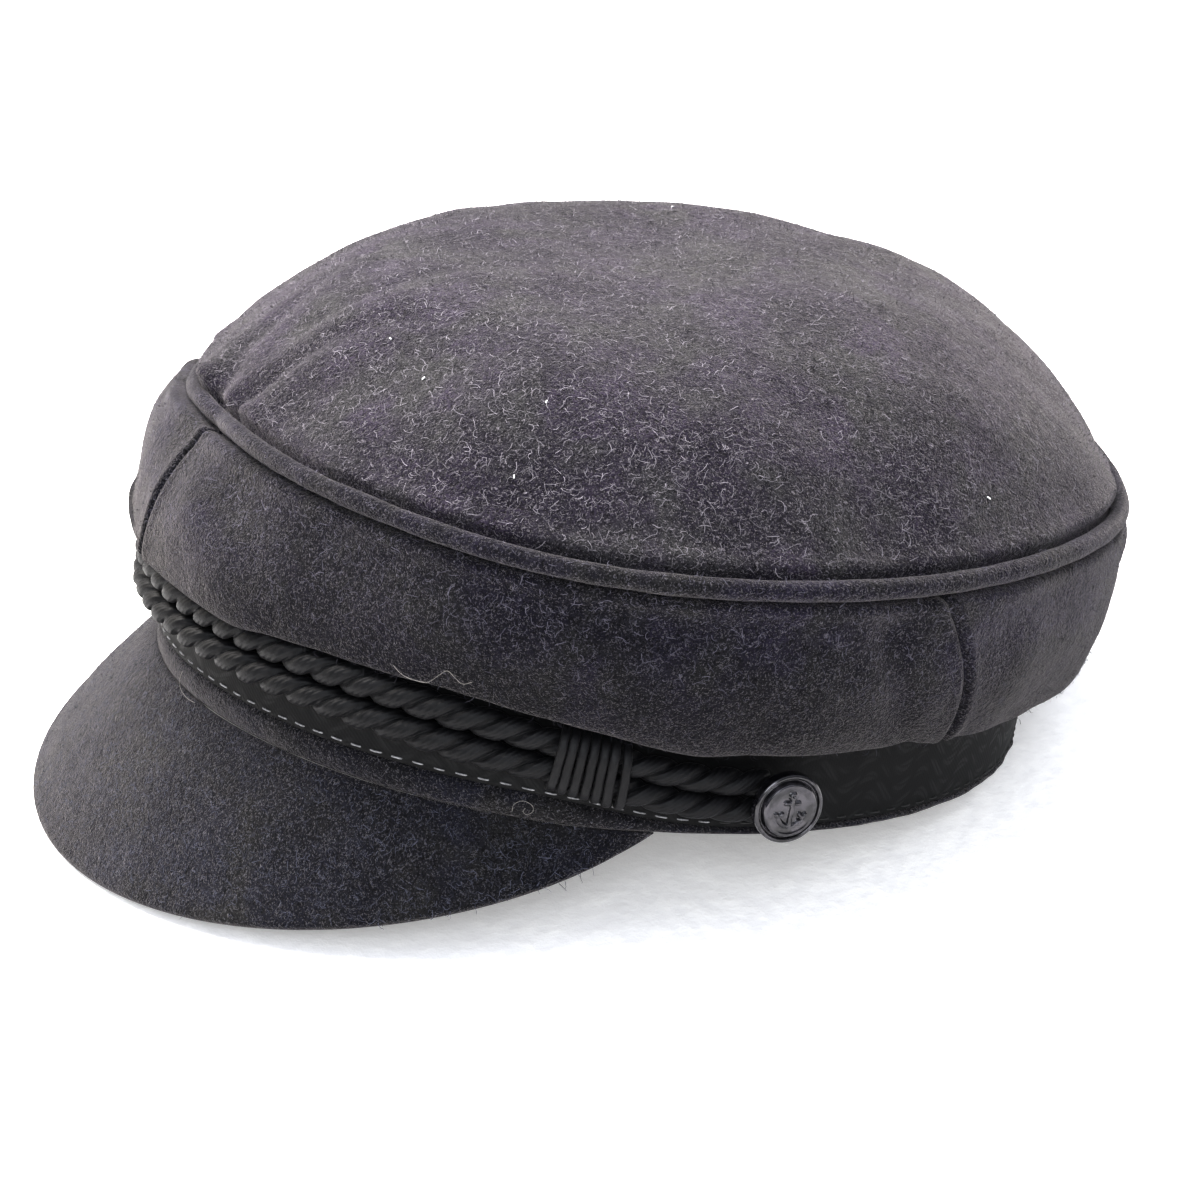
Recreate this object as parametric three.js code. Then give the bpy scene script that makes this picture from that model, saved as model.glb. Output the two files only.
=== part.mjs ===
// Skipper cap with a soft piped crown, a ribbon-covered band, two ropes and a curved peak.
// Millimetres, +Z up, front at -Y, the wearer's left at +X.
// Pieces are drawn in the cap's own frame, with the band's lower edge at z = 0.
// The whole cap then leans back until its peak and the back of its band both touch the surface.

import * as THREE from "three";
import { mergeVertices } from "three/addons/utils/BufferGeometryUtils.js";

// Driving dimensions: band
const bandLength = 194.6;
const bandWidth = 181.4;
const bandHeight = 36;
const bandWall = 2.4;
const rollProud = 1.2;
const rollLow = 0.3;
const rollHigh = 0.75;
const bandSag = 0.9;
const sagStart = 135;
const sagFull = 165;
const ribbonWall = 1.0;
const ribbonTopMargin = 5.0;

// Driving dimensions: crown
const clothWall = 1.5;
const crownOverhang = 17.5;
const sideFollow = 0.4;
const rimHeight = 56;
const domeHeight = 34.3;
const domeFullness = 4.2;
const domeLean = 0.16;
const domeCentreBack = -4.3;
const legOut = 2.4;
const legRise = 28.5;
const pipingDiameter = 4.5;
const pipingProud = 0.5;
const sideSeamTurn = 103;
const sideSeamLean = 6.2;
const seamLeanStart = 0.5;
const seamLeanPower = 1.5;

// Driving dimensions: peak
const peakSpread = 71.5;
const peakReach = 89.4;
const peakDrop = 36.1;
const peakThickness = 3.0;
const peakCrown = 2.0;
const peakFall = 0.77;
const peakSeatOut = 0.9;
const peakEndSweep = 86;

// Driving dimensions: ropes, wraps and buttons
const ropeDiameter = 6.0;
const wrapTurn = 63;
const wrapTurns = 7;
const wrapWidth = 13;
const wrapWall = 0.9;
const wrapRidge = 0.6;
const buttonTurn = 83.7;
const buttonDiameter = 15;
const buttonThickness = 2.6;
const buttonRimWidth = 1.1;
const buttonGroove = 0.5;
const buttonDome = 0.5;
const shankDiameter = 3.2;

// Clearances: between separate pieces, and how far cloth is pressed flat by the surface
const gap = 0.3;
const pressed = 0.4;

// Mesh steps
const quarterSteps = 12;
const sectionSteps = 11;
const domeSteps = 8;
const ringSteps = 4 * quarterSteps;
const ropeSteps = 48;
const ropeSides = 8;
const ropePlaces = 24;
const pipingSides = 8;
const wrapArcSteps = 3;
const domeRowPower = 0.75;
const halvings = 16;
const weld = 1e-4;
const peakSteps = 24;
const peakRows = 6;
const buttonSides = 24;

// Where the band is pushed in from its oval: turn, depth as a share of bandWidth, spread in degrees
const bandDents = [
  { turn: 325, inward: 0.032, spread: 24 },
  { turn: 152, inward: 0.013, spread: 24 },
];

// Side of the crown, from the front (turn 0) to the back (turn 180).
// out columns: shares of crownOverhang outside the band's face.
// foldUp: height over the top of the upper rope's line, the others over the band's lower edge,
// all as shares of rimHeight.
const sideRows = [
  {
    turn: 0,
    foldOut: 0.46, foldUp: 0.012, sideOut: 0.37, sideUp: 0.648,
    upperOut: 0.08, upperUp: 0.82, rimOut: -0.14, rimUp: 0.988,
  },
  {
    turn: 30,
    foldOut: 0.39, foldUp: 0.013, sideOut: 0.35, sideUp: 0.629,
    upperOut: 0.15, upperUp: 0.804, rimOut: 0.02, rimUp: 0.955,
  },
  {
    turn: 60,
    foldOut: 0.41, foldUp: 0.038, sideOut: 0.55, sideUp: 0.609,
    upperOut: 0.42, upperUp: 0.802, rimOut: 0.41, rimUp: 0.929,
  },
  {
    turn: 90,
    foldOut: 0.45, foldUp: 0.072, sideOut: 0.7, sideUp: 0.589,
    upperOut: 0.65, upperUp: 0.807, rimOut: 0.58, rimUp: 0.96,
  },
  {
    turn: 120,
    foldOut: 0.45, foldUp: 0.065, sideOut: 0.76, sideUp: 0.573,
    upperOut: 0.78, upperUp: 0.818, rimOut: 0.68, rimUp: 1.012,
  },
  {
    turn: 150,
    foldOut: 0.56, foldUp: 0.031, sideOut: 0.82, sideUp: 0.557,
    upperOut: 0.83, upperUp: 0.836, rimOut: 0.66, rimUp: 1.008,
  },
  {
    turn: 180,
    foldOut: 0.54, foldUp: -0.019, sideOut: 0.9, sideUp: 0.539,
    upperOut: 0.9, upperUp: 0.854, rimOut: 0.47, rimUp: 1.072,
  },
];

// Trim round the band. line: height between the two ropes, and strip: height of the wool strip
// left bare under the ribbon, both as shares of bandHeight.
const trimRows = [
  { turn: 0, line: 0.514, strip: 0.153 },
  { turn: 30, line: 0.508, strip: 0.15 },
  { turn: 45, line: 0.478, strip: 0.15 },
  { turn: 60, line: 0.403, strip: 0.133 },
  { turn: 75, line: 0.292, strip: 0.056 },
  { turn: 90, line: 0.27, strip: 0.047 },
  { turn: 180, line: 0.27, strip: 0.047 },
];

// Ridges (rise over 0) and hollows (rise under 0) pushed into the dome.
// Ends x, y are shares of half the band's width and length, width and rise of domeHeight.
const domeFolds = [
  { x: -0.1, y: -0.92, toX: -0.3, toY: -0.6, width: 0.2, rise: 0.07 },
  { x: 0.02, y: -0.88, toX: 0.3, toY: -0.46, width: 0.2, rise: 0.07 },
  { x: 0.84, y: 0.0, toX: 0.98, toY: 0.02, width: 0.28, rise: -0.06 },
  { x: -0.46, y: -0.06, toX: -0.05, toY: 0.56, width: 0.4, rise: 0.03 },
];

// Materials
const wool = new THREE.MeshStandardMaterial({ color: 0x3a3940, roughness: 0.95, metalness: 0 });
const ribbonCloth = new THREE.MeshStandardMaterial({ color: 0x151614, roughness: 0.7, metalness: 0 });
const ropeCord = new THREE.MeshStandardMaterial({ color: 0x1b1b1b, roughness: 0.6, metalness: 0 });
const buttonGloss = new THREE.MeshStandardMaterial({ color: 0x3d3b42, roughness: 0.25, metalness: 0.6 });

const radians = THREE.MathUtils.degToRad;
const lerp = THREE.MathUtils.lerp;

// A smooth value of one column between the rows of a table that mirrors at both ends
function rowValue(rows, column, turn) {
  const last = rows.length - 1;
  let row = 0;
  while (row < last - 1 && rows[row + 1].turn < turn) {
    row += 1;
  }
  const slope = (index) => {
    if (index === 0 || index === last) {
      return 0;
    }
    const before = rows[index - 1];
    const after = rows[index + 1];
    return (after[column] - before[column]) / (after.turn - before.turn);
  };
  const from = rows[row];
  const to = rows[row + 1];
  const span = to.turn - from.turn;
  const share = (turn - from.turn) / span;
  const square = share * share;
  const cube = square * share;
  return (
    (2 * cube - 3 * square + 1) * from[column] +
    (cube - 2 * square + share) * span * slope(row) +
    (3 * square - 2 * cube) * to[column] +
    (cube - square) * span * slope(row + 1)
  );
}

// Degrees from the front, on either side of the cap
function fromFront(turn) {
  const wrapped = THREE.MathUtils.euclideanModulo(turn, 360);
  return Math.min(wrapped, 360 - wrapped);
}

const trimShare = (column, turn) => rowValue(trimRows, column, fromFront(turn)) * bandHeight;
const sideShare = (column, turn) => rowValue(sideRows, column, fromFront(turn));

// How far the band is pushed in at a turn
function dentDepth(turn) {
  return bandDents.reduce((sum, dent) => {
    const apart = THREE.MathUtils.euclideanModulo(turn - dent.turn + 180, 360) - 180;
    return sum + dent.inward * bandWidth * Math.exp(-Math.pow(apart / dent.spread, 2));
  }, 0);
}

// A point at a turn round the band, a distance out from its face and a height
function bandPoint(turn, out, up) {
  const angle = radians(turn);
  const fromOval = out - dentDepth(turn);
  return new THREE.Vector3(
    (bandWidth / 2 + fromOval) * Math.sin(angle),
    -(bandLength / 2 + fromOval) * Math.cos(angle),
    up,
  );
}

// Collects faces and turns them into one closed geometry
class Faces {
  constructor() {
    this.positions = [];
  }

  triangle(a, b, c) {
    if (a.equals(b) || b.equals(c) || c.equals(a)) {
      return;
    }
    this.positions.push(...a.toArray(), ...b.toArray(), ...c.toArray());
  }

  quad(a, b, c, d) {
    this.triangle(a, b, c);
    this.triangle(a, c, d);
  }

  geometry() {
    const loose = new THREE.BufferGeometry();
    loose.setAttribute("position", new THREE.Float32BufferAttribute(this.positions, 3));
    const merged = mergeVertices(loose, weld);
    merged.computeVertexNormals();
    return merged;
  }
}

// A sheet with thickness: outer and inner are grids of points [along][up].
// A sheet closed round, such as the top panel, may draw its last row together in one point.
function sheetGeometry(outer, inner, closedRound) {
  const faces = new Faces();
  const columns = outer.length;
  const top = outer[0].length - 1;
  const steps = closedRound ? columns : columns - 1;
  for (let i = 0; i < steps; i += 1) {
    const next = (i + 1) % columns;
    for (let j = 0; j < top; j += 1) {
      faces.quad(outer[i][j], outer[next][j], outer[next][j + 1], outer[i][j + 1]);
      faces.quad(inner[i][j], inner[i][j + 1], inner[next][j + 1], inner[next][j]);
    }
    faces.quad(inner[i][0], inner[next][0], outer[next][0], outer[i][0]);
    faces.quad(outer[i][top], outer[next][top], inner[next][top], inner[i][top]);
  }
  if (!closedRound) {
    const end = columns - 1;
    for (let j = 0; j < top; j += 1) {
      faces.quad(inner[0][j], outer[0][j], outer[0][j + 1], inner[0][j + 1]);
      faces.quad(outer[end][j], inner[end][j], inner[end][j + 1], outer[end][j + 1]);
    }
  }
  return faces.geometry();
}

// A ring swept round the band: section(turn) gives its corners, up the outside and down the inside
function ringGeometry(section) {
  const faces = new Faces();
  const sections = [];
  for (let i = 0; i < ringSteps; i += 1) {
    sections.push(section((360 * i) / ringSteps));
  }
  const corners = sections[0].length;
  for (let i = 0; i < ringSteps; i += 1) {
    const here = sections[i];
    const there = sections[(i + 1) % ringSteps];
    for (let j = 0; j < corners; j += 1) {
      const up = (j + 1) % corners;
      faces.quad(here[j], there[j], there[up], here[up]);
    }
  }
  return faces.geometry();
}

// Heights of the trim
const ropeCentreOut = ribbonWall + 2 * gap + ropeDiameter / 2;
const ropeSpacing = ropeDiameter + gap;
const ropeTop = (turn) => trimShare("line", turn) + gap / 2 + ropeDiameter;

// Corner points of the crown's side: sewn edge, hidden leg, fold, side, upper side and rim.
// Where the band is pushed in, the fold keeps its place, the leg goes halfway, the side follows
// by a share and the rim follows fully.
function sideCorners(turn) {
  const out = (column) => sideShare(column, turn) * crownOverhang;
  const up = (column) => sideShare(column, turn) * rimHeight;
  const dent = dentDepth(turn);
  return [
    new THREE.Vector2(gap, bandHeight + gap),
    new THREE.Vector2(legOut + dent / 2, legRise),
    new THREE.Vector2(out("foldOut") + dent, ropeTop(turn) + up("foldUp")),
    new THREE.Vector2(out("sideOut") + (1 - sideFollow) * dent, up("sideUp")),
    new THREE.Vector2(out("upperOut") + (1 - sideFollow) * dent, up("upperUp")),
    new THREE.Vector2(out("rimOut"), up("rimUp")),
  ];
}

// The same corners moved to the inside of the cloth, square to both neighbouring edges
function insetCorners(corners) {
  const normals = [];
  for (let i = 0; i < corners.length - 1; i += 1) {
    const along = corners[i + 1].clone().sub(corners[i]).normalize();
    normals.push(new THREE.Vector2(-along.y, along.x));
  }
  return corners.map((corner, i) => {
    const before = normals[Math.max(i - 1, 0)];
    const after = normals[Math.min(i, normals.length - 1)];
    const mean = before.clone().add(after).normalize();
    return corner.clone().addScaledVector(mean, clothWall / mean.dot(after));
  });
}

// How far along a curve that ends at the rim a panel runs before it meets the piping
function shareShortOfPiping(pointAt, pipingCentre) {
  let clear = 0.8;
  let touching = 1;
  for (let halving = 0; halving < halvings; halving += 1) {
    const share = (clear + touching) / 2;
    if (pointAt(share).distanceTo(pipingCentre) > pipingDiameter / 2 + gap) {
      clear = share;
    } else {
      touching = share;
    }
  }
  return clear;
}

// Where the side seam runs: it leans forward from the side of the cap up to the rim
function seamTurn(share) {
  const raised = Math.max(0, (share - seamLeanStart) / (1 - seamLeanStart));
  return sideSeamTurn - sideSeamLean * Math.pow(raised, seamLeanPower);
}

// One quarter of the crown's side between two turns that may change with height
function sideQuarter(startTurn, endTurn) {
  const halfSeam = THREE.MathUtils.radToDeg(gap / 2 / (bandWidth / 2));
  const outer = [];
  const inner = [];
  for (let i = 0; i <= quarterSteps; i += 1) {
    const outerColumn = [];
    const innerColumn = [];
    for (let j = 0; j <= sectionSteps; j += 1) {
      const height = j / sectionSteps;
      const turn = lerp(startTurn(height) + halfSeam, endTurn(height) - halfSeam, i / quarterSteps);
      const corners = sideCorners(turn);
      const outerCurve = new THREE.SplineCurve(corners);
      const innerCurve = new THREE.SplineCurve(insetCorners(corners));
      const pipingCentre = corners[corners.length - 1].clone();
      pipingCentre.x += pipingProud;
      const share = height * shareShortOfPiping((at) => outerCurve.getPoint(at), pipingCentre);
      const outerPoint = outerCurve.getPoint(share);
      const innerPoint = innerCurve.getPoint(share);
      outerColumn.push(bandPoint(turn, outerPoint.x, outerPoint.y));
      innerColumn.push(bandPoint(turn, innerPoint.x, innerPoint.y));
    }
    outer.push(outerColumn);
    inner.push(innerColumn);
  }
  return sheetGeometry(outer, inner, false);
}

// The rim where top and side meet, and the plain surface that fills it
const rimPoint = (turn) =>
  bandPoint(turn, sideShare("rimOut", turn) * crownOverhang, sideShare("rimUp", turn) * rimHeight);

const outwardAt = (turn) => bandPoint(turn, 1, 0).sub(bandPoint(turn, 0, 0)).normalize();
const pipingPoint = (turn) => rimPoint(turn).addScaledVector(outwardAt(turn), pipingProud);

const rimTilt = (rimPoint(0).z - rimPoint(180).z) / 2;
const rimLevel = (rimPoint(0).z + rimPoint(180).z) / 2;
const domeCentre = new THREE.Vector3(0, domeCentreBack, rimLevel);

// How much one fold raises or lowers the dome at a point of its plan
function foldHeight(fold, x, y) {
  const start = new THREE.Vector2((fold.x * bandWidth) / 2, (fold.y * bandLength) / 2);
  const end = new THREE.Vector2((fold.toX * bandWidth) / 2, (fold.toY * bandLength) / 2);
  const along = end.clone().sub(start);
  const point = new THREE.Vector2(x, y);
  const share = THREE.MathUtils.clamp(point.clone().sub(start).dot(along) / along.lengthSq(), 0, 1);
  const distance = point.distanceTo(start.addScaledVector(along, share));
  return fold.rise * domeHeight * Math.exp(-Math.pow(distance / (fold.width * domeHeight), 2));
}

// A point of the crown's top: share 0 at its centre, 1 at the rim
function domePoint(turn, share) {
  const rim = rimPoint(turn);
  const x = lerp(domeCentre.x, rim.x, share);
  const y = lerp(domeCentre.y, rim.y, share);
  const tilt = rimTilt * Math.cos(radians(turn));
  const base = rimLevel + tilt * share + (rim.z - rimLevel - tilt) * share * share;
  const lean = 1 + (domeLean * y) / (bandLength / 2);
  const swell = 1 - Math.pow(share, domeFullness);
  const folds = domeFolds.reduce((sum, fold) => sum + foldHeight(fold, x, y), 0);
  return new THREE.Vector3(x, y, base + domeHeight * lean * swell + folds * swell);
}

function domeNormal(turn, share) {
  const step = 0.01;
  const round = domePoint(turn + 1, share).sub(domePoint(turn - 1, share));
  const inward = domePoint(turn, share - step).sub(domePoint(turn, share + step));
  return round.cross(inward).normalize();
}

// The top panel, with its last row drawn together at the centre
function crownTop() {
  const outer = [];
  const inner = [];
  const centre = domePoint(0, 0);
  const centreInside = centre.clone().setZ(centre.z - clothWall);
  for (let i = 0; i < ringSteps; i += 1) {
    const turn = (360 * i) / ringSteps;
    const edgeShare = shareShortOfPiping((at) => domePoint(turn, at), pipingPoint(turn));
    const outerColumn = [];
    const innerColumn = [];
    for (let j = 0; j < domeSteps; j += 1) {
      const share = edgeShare * Math.pow(1 - j / domeSteps, domeRowPower);
      const point = domePoint(turn, share);
      outerColumn.push(point);
      innerColumn.push(point.clone().addScaledVector(domeNormal(turn, share), -clothWall));
    }
    outerColumn.push(centre);
    innerColumn.push(centreInside);
    outer.push(outerColumn);
    inner.push(innerColumn);
  }
  return sheetGeometry(outer, inner, true);
}

function pipingRing() {
  const radius = pipingDiameter / 2;
  return ringGeometry((turn) => {
    const centre = pipingPoint(turn);
    const outward = outwardAt(turn);
    const corners = [];
    for (let k = 0; k < pipingSides; k += 1) {
      const angle = (2 * Math.PI * k) / pipingSides;
      const corner = centre.clone().addScaledVector(outward, radius * Math.cos(angle));
      corner.z += radius * Math.sin(angle);
      corners.push(corner);
    }
    return corners;
  });
}

// The band's lower edge sags a little at the back, where the cap rests on it
function bandFoot(turn) {
  return -bandSag * THREE.MathUtils.smoothstep(fromFront(turn), sagStart, sagFull);
}

// Where the two resting points lie in the cap's own frame
const peakEdgeY = -(bandLength / 2) * Math.cos(radians(peakSpread)) - peakReach;
const frontFoot = peakSheetPoint(0, 0).under;
const backFoot = bandPoint(180, rollProud, 0);
const floorSlope = (backFoot.z - frontFoot.z) / (backFoot.y - frontFoot.y);

// The surface that the cap rests on, seen in the cap's own frame, is a sloping plane
const floorHeight = (y) => frontFoot.z + pressed + (y - frontFoot.y) * floorSlope;

// Cloth under the surface is pressed flat against it
function pressFlat(point) {
  point.z = Math.max(point.z, floorHeight(point.y));
  return point;
}

function headBand() {
  return ringGeometry((turn) => {
    const foot = bandFoot(turn);
    const strip = trimShare("strip", turn) - gap;
    return [
      pressFlat(bandPoint(turn, -bandWall, foot)),
      pressFlat(bandPoint(turn, rollProud / 2, foot)),
      pressFlat(bandPoint(turn, rollProud, foot + rollLow * strip)),
      bandPoint(turn, rollProud, rollHigh * strip),
      bandPoint(turn, 0, strip),
      bandPoint(turn, 0, bandHeight),
      bandPoint(turn, -bandWall, bandHeight),
    ];
  });
}

function bandRibbon() {
  const face = gap + ribbonWall;
  const top = bandHeight - ribbonTopMargin;
  return ringGeometry((turn) => {
    const low = trimShare("strip", turn);
    return [
      bandPoint(turn, gap, low),
      bandPoint(turn, face, low),
      bandPoint(turn, face, top),
      bandPoint(turn, gap, top),
    ];
  });
}

// The upper face of the peak: share 0 at its free edge, 1 at the band. sweep is -90 to 90.
function peakFace(sweep, share) {
  const angle = radians(sweep);
  const seatTurn = (peakSpread * sweep) / 90;
  const seat = bandPoint(seatTurn, peakSeatOut, -gap);
  const edge = new THREE.Vector3(
    (bandWidth / 2) * Math.sin(radians(peakSpread)) * Math.sin(angle),
    peakEdgeY + peakReach * (1 - Math.cos(angle)),
    -peakDrop * Math.pow(Math.cos(angle), peakFall),
  );
  const point = edge.lerp(seat, share);
  point.z += peakCrown * Math.sin(Math.PI * share) * Math.cos(angle);
  return point;
}

function peakSheetPoint(sweep, share) {
  const step = 0.02;
  const low = Math.max(share - step, 0);
  const high = Math.min(share + step, 1);
  const across = peakFace(sweep + 1, share).sub(peakFace(sweep - 1, share));
  const inward = peakFace(sweep, high).sub(peakFace(sweep, low));
  const normal = across.cross(inward).normalize();
  const over = peakFace(sweep, share);
  return { over, under: over.clone().addScaledVector(normal, -peakThickness) };
}

function peakGeometry() {
  const outer = [];
  const inner = [];
  for (let i = 0; i <= peakSteps; i += 1) {
    const sweep = lerp(-peakEndSweep, peakEndSweep, i / peakSteps);
    const outerColumn = [];
    const innerColumn = [];
    for (let j = 0; j <= peakRows; j += 1) {
      const sheet = peakSheetPoint(sweep, j / peakRows);
      outerColumn.push(pressFlat(sheet.over));
      innerColumn.push(pressFlat(sheet.under));
    }
    outer.push(outerColumn);
    inner.push(innerColumn);
  }
  return sheetGeometry(outer, inner, false);
}

// Ropes end just short of the buttons' shanks
const ropeEndTurn =
  buttonTurn - THREE.MathUtils.radToDeg((shankDiameter / 2 + gap) / (bandWidth / 2));

function ropeGeometry(side) {
  const points = [];
  for (let i = 0; i <= ropePlaces; i += 1) {
    const turn = lerp(-ropeEndTurn, ropeEndTurn, i / ropePlaces);
    points.push(bandPoint(turn, ropeCentreOut, trimShare("line", turn) + (side * ropeSpacing) / 2));
  }
  const section = new THREE.Shape();
  for (let k = 0; k < ropeSides; k += 1) {
    const angle = (2 * Math.PI * k) / ropeSides;
    const x = (ropeDiameter / 2) * Math.cos(angle);
    const y = (ropeDiameter / 2) * Math.sin(angle);
    if (k === 0) {
      section.moveTo(x, y);
    } else {
      section.lineTo(x, y);
    }
  }
  section.closePath();
  return new THREE.ExtrudeGeometry(section, {
    steps: ropeSteps,
    bevelEnabled: false,
    extrudePath: new THREE.CatmullRomCurve3(points),
  });
}

// A bound slide: a sleeve over the front of both ropes, with a ridge for each turn of cord
function wrapGeometry(centreTurn) {
  const halfInside = gap / 2 + ropeDiameter + gap;
  const frontInside = ropeCentreOut + ropeDiameter / 2 + gap;
  const backOut = ribbonWall + 2 * gap;
  const cornerRadius = ropeDiameter / 2;
  const steps = 2 * wrapTurns;
  const sectionPoint = (grow, k) => {
    const upper = k > wrapArcSteps;
    const angle = upper ? ((k - wrapArcSteps - 1) / wrapArcSteps) * 90 : -90 + (k / wrapArcSteps) * 90;
    const centreUp = (upper ? 1 : -1) * (halfInside - cornerRadius);
    const radius = cornerRadius + grow;
    return {
      out: frontInside - cornerRadius + radius * Math.cos(radians(angle)),
      up: centreUp + radius * Math.sin(radians(angle)),
    };
  };
  const outer = [];
  const inner = [];
  for (let i = 0; i <= steps; i += 1) {
    const swing = THREE.MathUtils.radToDeg(wrapWidth / (bandWidth / 2 + frontInside));
    const turn = centreTurn + swing * (i / steps - 0.5);
    const line = trimShare("line", turn);
    const ridge = wrapWall + (i % 2 === 1 ? wrapRidge : 0);
    const column = (grow) => {
      const points = [bandPoint(turn, backOut, line - halfInside - grow)];
      for (let k = 0; k < 2 * (wrapArcSteps + 1); k += 1) {
        const place = sectionPoint(grow, k);
        points.push(bandPoint(turn, place.out, line + place.up));
      }
      points.push(bandPoint(turn, backOut, line + halfInside + grow));
      return points;
    };
    outer.push(column(ridge));
    inner.push(column(0));
  }
  return sheetGeometry(outer, inner, false);
}

// A turned button about +Y: shank, flat back, rim, groove and low dome
function buttonGeometry() {
  const radius = buttonDiameter / 2;
  const shank = shankDiameter / 2;
  const shankLength = ropeCentreOut + ropeDiameter / 2 - ribbonWall - gap;
  const inside = radius - buttonRimWidth;
  const face = buttonThickness;
  const profile = [
    [0, -shankLength],
    [shank, -shankLength],
    [shank, 0],
    [radius - buttonGroove, 0],
    [radius, buttonGroove],
    [radius, face - buttonGroove],
    [radius - buttonGroove, face],
    [inside, face],
    [inside - buttonGroove, face - buttonGroove],
    [inside - 2 * buttonGroove, face],
    [inside / 2, face + buttonDome],
    [0, face + buttonDome],
  ];
  const points = profile.map(([x, y]) => new THREE.Vector2(x, y));
  return new THREE.LatheGeometry(points, buttonSides);
}

function buttonMesh(name, side) {
  const mesh = namedMesh(name, buttonGeometry(), buttonGloss);
  const turn = side * buttonTurn;
  const seat = ropeCentreOut + ropeDiameter / 2 + gap;
  mesh.position.copy(bandPoint(turn, seat, trimShare("line", turn)));
  mesh.quaternion.setFromUnitVectors(new THREE.Vector3(0, 1, 0), outwardAt(turn));
  return mesh;
}

function namedMesh(name, geometry, material) {
  const mesh = new THREE.Mesh(geometry, material);
  mesh.name = name;
  return mesh;
}

const frontSeam = () => 0;
const backSeam = () => 180;
const leftSeam = seamTurn;
const rightSeam = (height) => 360 - seamTurn(height);

const cap = new THREE.Group();
cap.add(
  namedMesh("crown_top", crownTop(), wool),
  namedMesh("side_front_left", sideQuarter(frontSeam, leftSeam), wool),
  namedMesh("side_rear_left", sideQuarter(leftSeam, backSeam), wool),
  namedMesh("side_rear_right", sideQuarter(backSeam, rightSeam), wool),
  namedMesh("side_front_right", sideQuarter(rightSeam, () => 360), wool),
  namedMesh("crown_piping", pipingRing(), wool),
  namedMesh("head_band", headBand(), wool),
  namedMesh("band_ribbon", bandRibbon(), ribbonCloth),
  namedMesh("peak", peakGeometry(), wool),
  namedMesh("rope_upper", ropeGeometry(1), ropeCord),
  namedMesh("rope_lower", ropeGeometry(-1), ropeCord),
  namedMesh("rope_wrap_left", wrapGeometry(wrapTurn), ropeCord),
  namedMesh("rope_wrap_right", wrapGeometry(-wrapTurn), ropeCord),
  buttonMesh("button_left", 1),
  buttonMesh("button_right", -1),
);

// Lean the cap back onto the surface, with the origin under the middle of it
cap.rotation.x = -Math.atan(floorSlope);
cap.updateMatrixWorld(true);
const box = new THREE.Box3().setFromObject(cap, true);
const middle = box.getCenter(new THREE.Vector3());
cap.position.set(-middle.x, -middle.y, -box.min.z);

const part = new THREE.Group();
part.add(cap);

export default part;
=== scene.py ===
import math

import bpy
import numpy as np
from mathutils import Matrix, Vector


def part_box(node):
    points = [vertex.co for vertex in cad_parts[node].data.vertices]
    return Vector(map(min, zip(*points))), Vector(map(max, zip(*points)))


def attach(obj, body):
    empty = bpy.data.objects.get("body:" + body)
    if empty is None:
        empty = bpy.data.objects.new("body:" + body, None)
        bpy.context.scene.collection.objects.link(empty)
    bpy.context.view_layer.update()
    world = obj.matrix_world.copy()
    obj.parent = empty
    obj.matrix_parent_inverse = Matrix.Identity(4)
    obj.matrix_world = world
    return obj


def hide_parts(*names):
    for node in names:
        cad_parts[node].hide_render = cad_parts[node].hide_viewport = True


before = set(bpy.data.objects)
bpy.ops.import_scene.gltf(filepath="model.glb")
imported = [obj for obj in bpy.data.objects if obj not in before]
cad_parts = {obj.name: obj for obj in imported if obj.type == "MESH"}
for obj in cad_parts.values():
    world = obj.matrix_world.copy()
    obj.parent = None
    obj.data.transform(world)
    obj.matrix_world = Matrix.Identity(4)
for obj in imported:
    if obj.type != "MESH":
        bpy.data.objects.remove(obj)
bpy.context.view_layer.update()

# Sizes repeated from the solids, in millimetres and degrees
BAND_LENGTH = 194.6
BAND_WIDTH = 181.4
BAND_HEIGHT = 36.0
BAND_WALL = 2.4
ROLL_PROUD = 1.2
BAND_SAG = 0.9
SAG_START = 135.0
SAG_FULL = 165.0
RIBBON_WALL = 1.0
RIBBON_TOP_MARGIN = 5.0
CLOTH_WALL = 1.5
CROWN_OVERHANG = 17.5
SIDE_FOLLOW = 0.4
RIM_HEIGHT = 56.0
DOME_HEIGHT = 34.3
DOME_FULLNESS = 4.2
DOME_LEAN = 0.16
DOME_CENTRE_BACK = -4.3
LEG_OUT = 2.4
LEG_RISE = 28.5
PIPING_DIAMETER = 4.5
PIPING_PROUD = 0.5
SIDE_SEAM_TURN = 103.0
SIDE_SEAM_LEAN = 6.2
PEAK_SPREAD = 71.5
PEAK_REACH = 89.4
PEAK_DROP = 36.1
PEAK_THICKNESS = 3.0
PEAK_CROWN = 2.0
PEAK_FALL = 0.77
PEAK_SEAT_OUT = 0.9
PEAK_END_SWEEP = 89.6
ROPE_DIAMETER = 6.0
WRAP_TURN = 63.0
WRAP_TURNS = 7
WRAP_WIDTH = 13.0
BUTTON_TURN = 83.7
BUTTON_DIAMETER = 15.0
BUTTON_THICKNESS = 2.6
SHANK_DIAMETER = 3.2
GAP = 0.3
PRESSED = 0.4

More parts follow.
